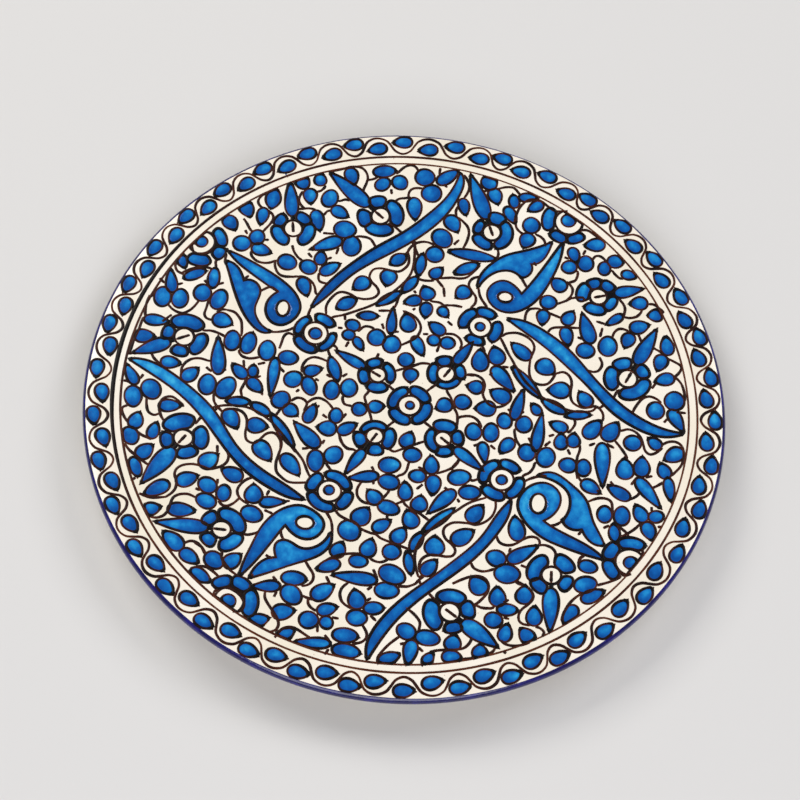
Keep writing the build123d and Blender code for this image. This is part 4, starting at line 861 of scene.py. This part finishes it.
def strokes(name, lines, dark=0.0):
    """One piece of brown strokes, each (points, half widths, closed). dark adds to their colour."""
    curve = bpy.data.curves.new(name + "_path", "CURVE")
    curve.dimensions = "3D"
    load = []
    for points, widths, closed in lines:
        spline = curve.splines.new("POLY")
        spline.points.add(len(points) - 1)
        for point, (x, y), w in zip(spline.points, points, widths):
            point.co = (x * MM, y * MM, (sphere_z(math.hypot(x, y)) + LINE_RISE) * MM, 1)
            point.radius = w * MM
            load.extend([min(max((w - THIN_LINE) / LINE_LOAD + dark, 0.0), 1.0)] * BEAD_SIDES)
        spline.use_cyclic_u = closed
    path = bpy.data.objects.new(name + "_path", curve)
    bpy.context.scene.collection.objects.link(path)
    modifier = path.modifiers.new("liner", "NODES")
    modifier.node_group = STROKE_TREE
    modifier[FLATNESS_ID] = LINE_FLATNESS
    modifier[SIDES_ID] = BEAD_SIDES
    bpy.context.view_layer.update()
    evaluated = path.evaluated_get(bpy.context.evaluated_depsgraph_get())
    mesh = bpy.data.meshes.new_from_object(evaluated)
    path.modifiers.clear()
    bpy.data.objects.remove(path)
    mesh.name = name
    piece = bpy.data.objects.new(name, mesh)
    bpy.context.scene.collection.objects.link(piece)
    mesh.polygons.foreach_set("use_smooth", [True] * len(mesh.polygons))
    layer = mesh.attributes.new("ink", "FLOAT", "POINT")
    layer.data.foreach_set("value", load)
    return outward(piece)


def smooth_line(points, step=0.8):
    """An open line through the points, rounded, with points an even step apart."""
    p = np.array(points, float)
    if len(p) > 2:
        ends = np.vstack([2 * p[0] - p[1], p, 2 * p[-1] - p[-2]])
        fine = []
        for k in range(1, len(ends) - 2):
            for t in np.linspace(0, 1, 8, endpoint=False):
                a, b, c, d = ends[k - 1 : k + 3]
                square = (2 * a - 5 * b + 4 * c - d) * t**2
                cube = (3 * b - a - 3 * c + d) * t**3
                fine.append(0.5 * (2 * b + (c - a) * t + square + cube))
        fine.append(p[-1])
        p = np.array(fine)
    along = np.concatenate([[0], np.cumsum(np.hypot(*(p[1:] - p[:-1]).T))])
    count = max(4, int(round(along[-1] / step)) + 1)
    at = np.linspace(0, along[-1], count)
    return np.stack([np.interp(at, along, p[:, k]) for k in (0, 1)], 1)


def hand(chance, count, swing):
    """A slow, smooth drift of a hand's pressure, closed end to end."""
    phases = [chance.uniform(0, 2 * math.pi) for _ in range(3)]
    t = np.arange(count) / count * 2 * math.pi
    shares = (0.6, 0.4, 0.3)
    return swing * sum(share * np.sin((n + 1) * t + phases[n]) for n, share in enumerate(shares))


OUTLINE_STEP = 0.85
TIP_LOAD = 0.45
OUTLINE_SWING = 0.14
FINEST_OUTLINE = 0.38
SHARP_TIP = 0.45
OUTLINE_DARK = 0.22
# the tail that a brush leaves past a leaf's tip: how far past it, and half the width there
TAIL = [(-0.9, 0.9), (-0.3, 0.85), (0.3, 0.65), (0.8, 0.45), (1.3, 0.25)]


def outline_strokes(name, nodes, seed, half, offset=0.42):
    """Brown outlines round the pools of the nodes, heavier at a leaf's tip."""
    chance = random.Random(seed)
    lines = []
    for node in nodes:
        for loops in pools[node]:
            for loop in loops:
                edge = resampled(loop, OUTLINE_STEP)
                before = edge - np.roll(edge, 1, 0)
                after = np.roll(edge, -1, 0) - edge
                turn = np.angle((after[:, 0] + 1j * after[:, 1]) / (before[:, 0] + 1j * before[:, 1]))
                sharp = np.clip((turn - 0.35) / 0.7, 0, 1)
                sharp = np.maximum(sharp, 0.5 * np.maximum(np.roll(sharp, 1), np.roll(sharp, -1)))
                widths = half + hand(chance, len(edge), OUTLINE_SWING) + TIP_LOAD * sharp
                edge = pushed_out(edge, offset)
                lines.append((edge, np.maximum(widths, FINEST_OUTLINE), True))
                tip = int(sharp.argmax())
                if sharp[tip] > SHARP_TIP:
                    away = edge[tip] - (edge[tip - 4] + edge[(tip + 4) % len(edge)]) / 2
                    away = away / np.hypot(*away)
                    tail = np.array([edge[tip] + away * past for past, _ in TAIL])
                    lines.append((tail, np.array([w for _, w in TAIL]), False))
    return strokes(name, lines, OUTLINE_DARK)


TAPER_RUN = 0.15


def tapered(points, half, chance, start, end):
    """A stroke that is set down and lifted: its ends are finer than its middle."""
    line = smooth_line(points)
    t = np.linspace(0, 1, len(line))
    taper = np.minimum(1, start + (1 - start) * t / TAPER_RUN)
    taper = taper * np.minimum(1, end + (1 - end) * (1 - t) / TAPER_RUN)
    return line, (half + hand(chance, len(line), 0.09)) * taper, False


POOL_NODES = [
    "berries", "leaflets", "drops", "spindles", "lobed_leaves", "long_leaves", "scroll_wings",
    "scroll_hooks",
    "centre_flower_petals", "ring_flower_petals", "rim_flower_petals", "pistil_flower_petals",
    "pistil_flower_drops", "centre_flower_eyes", "ring_flower_eyes", "rim_flower_eyes",
    "border_leaves_inner", "border_leaves_outer",
]
pools = {node: loops_of(node) for node in POOL_NODES + ["pistils"]}
pool_pieces = {node: domed_pools(node + "_glaze", [node], 100 + k) for k, node in enumerate(POOL_NODES)}

PETALS = ["centre_flower_petals", "ring_flower_petals", "rim_flower_petals", "pistil_flower_petals"]
LONG = ["lobed_leaves", "long_leaves", "scroll_wings", "scroll_hooks"]
ROUND = ["centre_flower_eyes", "ring_flower_eyes", "rim_flower_eyes"]
line_pieces = [
    outline_strokes("berry_outlines", ["berries"], 11, 0.62),
    outline_strokes("leaflet_outlines", ["leaflets"], 12, 0.62),
    outline_strokes("drop_outlines", ["drops", "spindles", "pistil_flower_drops"], 13, 0.65),
    outline_strokes("petal_outlines", PETALS, 14, 0.76, 0.46),
    outline_strokes("long_leaf_and_scroll_outlines", LONG, 15, 0.7, 0.36),
    outline_strokes("eye_outlines", ROUND, 16, 0.55),
    outline_strokes("border_leaf_outlines", ["border_leaves_inner", "border_leaves_outer"], 17, 0.66),
]

chance = random.Random(21)
all_loops = [loop for node in POOL_NODES for loops in pools[node] for loop in loops]
edge_points = np.vstack([resampled(loop, 0.6) for loop in all_loops])
JOINS_WITHIN = (0.5, 2.4)


def pairs(flat):
    """Points from a flat list of x and y in turn."""
    return list(zip(flat[::2], flat[1::2]))


def joined(line):
    """The stroke carried on to the pool that it stops just short of, at either end."""
    for end in (0, -1):
        gap = edge_points - np.array(line[end])
        distance = np.hypot(gap[:, 0], gap[:, 1])
        near = int(distance.argmin())
        if JOINS_WITHIN[0] < distance[near] < JOINS_WITHIN[1]:
            line.insert(0 if end == 0 else len(line), tuple(edge_points[near]))
    return line


outer_loops = [loops[0] for node in POOL_NODES for loops in pools[node]]
loop_low = np.array([loop.min(0) for loop in outer_loops])
loop_high = np.array([loop.max(0) for loop in outer_loops])


def in_pool(point):
    """True if the point is on a pool."""
    near = np.flatnonzero(((loop_low < point) & (point < loop_high)).all(1))
    return any(inside(outer_loops[k], point) for k in near)


def clear_of_pools(stroke):
    """The stroke with any end that lies on a pool cut back to its edge."""
    points, widths, closed = stroke
    first = 0
    last = len(points)
    while first < last - 4 and in_pool(points[first]):
        first += 1
    while last > first + 4 and in_pool(points[last - 1]):
        last -= 1
    return points[first:last], widths[first:last], closed


FINE_LINE = 0.74
SET_DOWN = 0.85
LIFTED = 0.6
tendrils = []
for line in TENDRILS:
    stroke = tapered(joined(pairs(line)), FINE_LINE, chance, SET_DOWN, SET_DOWN)
    tendrils.append(clear_of_pools(stroke))
line_pieces.append(strokes("tendrils", tendrils))
ticks = [tapered(pairs(line), FINE_LINE, chance, SET_DOWN, LIFTED) for line in TICKS]
line_pieces.append(strokes("ticks", ticks))
EYE_CLEAR = 2.6
THROAT_HALF = 1.15


def circle_line(x, y, r, half, chance, count, drift):
    """A brushed circle that wanders a little. One round an eye stays clear of the border's line."""
    t = np.arange(count) / count * 2 * math.pi
    rr = r + hand(chance, count, drift)
    points = np.stack([x + rr * np.cos(t), y + rr * np.sin(t)], 1)
    if r < BORDER_R / 2:
        reach = np.hypot(points[:, 0], points[:, 1])
        points = points * np.minimum(1, (BORDER_R - EYE_CLEAR) / reach)[:, None]
    return points, half + hand(chance, count, half * 0.18), True


eye_lines = [circle_line(x, y, r, w, chance, 40, 0.12) for x, y, r, w in RINGED_EYES + PISTIL_EYES]
drop_loops = [loops[0] for loops in pools["pistil_flower_drops"]]
for x, y, r, w in PISTIL_EYES:
    # the throat: a heavy stroke from the eye's line to the nearest drop
    gap, nearest = min((np.hypot(*(loop - (x, y)).T).min(), k) for k, loop in enumerate(drop_loops))
    loop = drop_loops[nearest]
    base = loop[np.hypot(*(loop - (x, y)).T).argmin()]
    direction = (base - (x, y)) / gap
    throat = smooth_line([np.array((x, y)) + direction * (r + 0.3), base + direction * 0.3], 0.5)
    eye_lines.append((throat, np.full(len(throat), THROAT_HALF), False))
line_pieces.append(strokes("flower_eye_lines", eye_lines, 0.2))
pistil_lines = []
for loops in pools["pistils"]:
    p = loops[0]
    middle = p.mean(0)
    axis = np.linalg.svd(p - middle)[2][0]
    reach = np.abs((p - middle) @ axis).max()
    pistil_lines.append(tapered([middle - axis * reach, middle + axis * reach], 0.8, chance, 0.8, 0.5))
line_pieces.append(strokes("pistil_strokes", pistil_lines))


RING_POINTS = 720
RING_OFFSET = 2.1


def border_ring(name, r, half, full, seed):
    """One of the double lines, drawn on the wheel: heavier on one side where the brush was full."""
    chance = random.Random(seed)
    points, widths, closed = circle_line(0, 0, r, half, chance, RING_POINTS, 0.18)
    t = np.arange(RING_POINTS) / RING_POINTS * 2 * math.pi
    widths = widths + full * np.clip(-np.cos(t + 0.1), 0, 1) ** 8 + 0.05 * np.sin(23 * t) * np.sin(7 * t)
    return strokes(name, [(points, widths, closed)])


ring_inner = border_ring("border_line_inner", BORDER_R - RING_OFFSET, 0.52, 0.06, 31)
ring_outer = border_ring("border_line_outer", BORDER_R + RING_OFFSET, 0.6, 0.46, 32)


def leaf_directions(node):
    """Direction of every pool of a border node from the plate's centre, in degrees."""
    return [math.degrees(math.atan2(p[0][:, 1].mean(), p[0][:, 0].mean())) % 360 for p in pools[node]]


VINE_SWING = 4.9
VINE_MIDDLE = 8.9
VINE_HALF = 0.67
VINE_LEAN = 0.05
# a power under 1 broadens the crests of the wave
VINE_ROUNDNESS = 0.65
STEPS_BETWEEN_LEAVES = 8


def vine():
    """The wavy vine: outside each inner leaf, inside each outer leaf, crossing between the two."""
    leaves = [(a, VINE_SWING) for a in leaf_directions("border_leaves_inner")]
    leaves += [(a, -VINE_SWING) for a in leaf_directions("border_leaves_outer")]
    leaves.sort()
    points = []
    for k, (here, swing) in enumerate(leaves):
        there = leaves[(k + 1) % len(leaves)][0] + (360 if k + 1 == len(leaves) else 0)
        for part in np.arange(0, 1, 1 / STEPS_BETWEEN_LEAVES):
            wave = math.cos(math.pi * part)
            wave = math.copysign(abs(wave) ** VINE_ROUNDNESS, wave)
            lean = VINE_LEAN * math.sin(math.pi * part) * (1 if swing > 0 else -1)
            angle = math.radians(here + (there - here) * (part + lean))
            r = BORDER_R + VINE_MIDDLE + swing * wave
            points.append((r * math.cos(angle), r * math.sin(angle)))
    loop = smooth_line(points + [points[0]], 0.8)[:-1]
    t = np.arange(len(loop))
    widths = VINE_HALF + 0.08 * (np.sin(t * 0.21) + np.sin(t * 0.083 + 1))
    return strokes("border_vine_line", [(loop, widths, True)])


vine_piece = vine()

# a drip of blue that the brush let fall on the cream
DRIP_X = -74.3
DRIP_Y = 126.5
DRIP_R = 0.5
turn = np.linspace(0, 2 * math.pi, 12, False)
pools["stray"] = [[np.stack([DRIP_X + DRIP_R * np.cos(turn), DRIP_Y + DRIP_R * np.sin(turn)], 1)]]
stray_dot = domed_pools("stray_blue_dot", ["stray"], 51, 0.0)


# ---- the back ----
# how far the shoulder and the well lie under the face, and how the glaze bends from the back to the foot
SHOULDER_DROP = 8.6
WELL_DROP = 7.2
BEND_REACH = 3.2
BEND_DROP = 2.6
WELL_BEND = 4
FOOT_CLEAR = 0.6


def under_section():
    """The glazed part of the underside outside the foot, then its inner side, as one closed section."""
    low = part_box("back_glaze")[0].z / MM
    shoulder = (FOOT_R, CENTRE_Z + FOOT_R**2 / (2 * DISH_R) - SHOULDER_DROP)
    reach = math.hypot(LIP_X - shoulder[0], LIP_Z - shoulder[1])
    slope = math.atan2(LIP_Z - shoulder[1], LIP_X - shoulder[0]) - math.asin(LIP_R / reach)
    start = math.degrees(slope) - 90
    arc = lip_arc(BAND_END + 16, start, LIP_R - GROUND_SINK, 5)
    end = (shoulder[0] + BEND_REACH, shoulder[1] + BEND_REACH * math.tan(slope))
    line = [
        (arc[-1][0] + (end[0] - arc[-1][0]) * t, arc[-1][1] + (end[1] - arc[-1][1]) * t)
        for t in np.linspace(0.05, 1, 24)
    ]
    foot_top = (shoulder[0] + 0.05, shoulder[1] - BEND_DROP)
    bend = [
        (
            (1 - t) ** 2 * end[0] + 2 * t * (1 - t) * (shoulder[0] + 0.4) + t**2 * foot_top[0],
            (1 - t) ** 2 * end[1] + 2 * t * (1 - t) * (shoulder[1] + 0.05) + t**2 * foot_top[1],
        )
        for t in np.linspace(0.15, 1, 7)
    ]
    wall = [(foot_top[0] - 0.3 * t, foot_top[1] + (low - foot_top[1]) * t) for t in (0.33, 0.66, 0.94, 1.0)]
    outer = arc + line + bend + wall
    inner = []
    for k, (r, z) in enumerate(outer):
        ax, az = outer[max(k - 1, 0)]
        bx, bz = outer[min(k + 1, len(outer) - 1)]
        size = math.hypot(bx - ax, bz - az)
        inner.append((r + (bz - az) / size * COAT, z - (bx - ax) / size * COAT))
    return outer + inner[::-1]


back_piece = turned("thin_back_glaze", under_section(), BACK, 300)

def well_section():
    """The glaze inside the foot: the well's flat, its rounded corner and the inner side of the foot."""
    flat_z = CENTRE_Z - WELL_DROP
    reach = FOOT_R - FOOT_W - FOOT_CLEAR
    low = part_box("well_glaze")[0].z / MM
    outer = [(r, flat_z) for r in (0.0, 20.0, 40.0, 60.0, reach - 4.2)]
    for a in np.linspace(0.1, math.pi / 2, 8):
        x = reach - WELL_BEND + WELL_BEND * math.sin(a)
        z = flat_z - WELL_BEND + WELL_BEND * math.cos(a)
        outer.append((x, z))
    outer += [(reach + 0.3, (flat_z - WELL_BEND + low) / 2), (reach + 0.9, low)]
    inner = [(0.0, flat_z + COAT)]
    for r, z in outer[1:]:
        inner.append((r + 0.1 if r < reach - 5 else r + COAT, z + COAT if r < reach - 0.5 else z))
    return outer + inner[::-1]


well_piece = turned("well_back_glaze", well_section(), BACK, 240)

for slot in NODES["clay_body"].material_slots:
    slot.material = CLAY
if not NODES["clay_body"].material_slots:
    NODES["clay_body"].data.materials.append(CLAY)

# ---- what rides and what each piece stands for ----
# each piece, the node it stands for and its slot
STANDS_FOR = [(piece, node, "blue_glaze") for node, piece in pool_pieces.items()]
STANDS_FOR += [
    (line_pieces[-1], "pistils", "brown_line"),
    (ring_inner, "ring_line_inner", "brown_line"),
    (ring_outer, "ring_line_outer", "brown_line"),
    (vine_piece, "border_vine", "brown_line"),
    (face_ground, "face_ground", "cream_glaze"),
    (lip_band, "lip_band", "cobalt_glaze"),
    (back_piece, "back_glaze", "cream_glaze"),
    (well_piece, "well_glaze", "cream_glaze"),
]
ADDED = [(piece, "brown_line") for piece in line_pieces[:-1]] + [(stray_dot, "blue_glaze")]
for piece, node, slot in STANDS_FOR:
    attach(piece, "root")
    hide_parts(node)
for piece, slot in ADDED:
    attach(piece, "root")

# ---- floor, light and camera ----
FLOOR = 3.0
floor_corners = [(x * FLOOR, y * FLOOR, 0) for x, y in ((-1, -1), (1, -1), (1, 1), (-1, 1))]
floor_mesh = bpy.data.meshes.new("floor")
floor_mesh.from_pydata(floor_corners, [], [(0, 1, 2, 3)])
floor = bpy.data.objects.new("floor", floor_mesh)
bpy.context.scene.collection.objects.link(floor)
floor_finish = {"Base Color": linear("#DAD8D5"), "Roughness": 0.9}
floor_mesh.materials.append(new_material("plain_pale_floor", floor_finish)[0])

world = bpy.data.worlds.new("studio")
bpy.context.scene.world = world
world.use_nodes = True
world.node_tree.nodes["Background"].inputs["Color"].default_value = linear("#F3F5FA")
world.node_tree.nodes["Background"].inputs["Strength"].default_value = 0.22


def area_light(name, place, size, watts, colour):
    """A soft box that looks at the plate."""
    data = bpy.data.lights.new(name, "AREA")
    data.shape = "RECTANGLE"
    data.size, data.size_y = size
    data.energy = watts
    data.color = linear(colour)[:3]
    light = bpy.data.objects.new(name, data)
    light.location = place
    light.rotation_mode = "QUATERNION"
    light.rotation_quaternion = (-Vector(place)).to_track_quat("-Z", "Y")
    bpy.context.scene.collection.objects.link(light)


area_light("window", (-1.0, 0.9, 1.5), (1.2, 0.9), 18, "#FFFDF8")
area_light("second_window", (1.1, 0.8, 1.5), (1.2, 0.9), 13, "#FCFCFF")
area_light("front_fill", (0.0, -1.7, 1.5), (2.2, 1.6), 36, "#F8F9FF")

CAMERA_DISTANCE = 1.184
CAMERA_UP = math.radians(61.54)
CAMERA_ROLL = math.radians(-5.79)
LENS = 106.83
SENSOR = 36.0
camera = bpy.data.objects.new("camera", bpy.data.cameras.new("camera"))
bpy.context.scene.collection.objects.link(camera)
camera.data.sensor_width = SENSOR
camera.data.lens = LENS
camera.data.shift_x = -0.007
camera.data.shift_y = 0.0045
aim = Vector((0, 0, CENTRE_Z * MM))
back = Vector((0, -math.cos(CAMERA_UP), math.sin(CAMERA_UP)))
right = Vector((1, 0, 0))
up = Vector((0, math.sin(CAMERA_UP), math.cos(CAMERA_UP)))
turned_right = right * math.cos(CAMERA_ROLL) - up * math.sin(CAMERA_ROLL)
turned_up = right * math.sin(CAMERA_ROLL) + up * math.cos(CAMERA_ROLL)
camera.location = aim + back * CAMERA_DISTANCE
camera.rotation_mode = "QUATERNION"
camera.rotation_quaternion = Matrix((turned_right, turned_up, back)).transposed().to_quaternion()
bpy.context.scene.camera = camera

# the glaze colours above are meant to be seen as they are given
bpy.context.scene.view_settings.view_transform = "Standard"
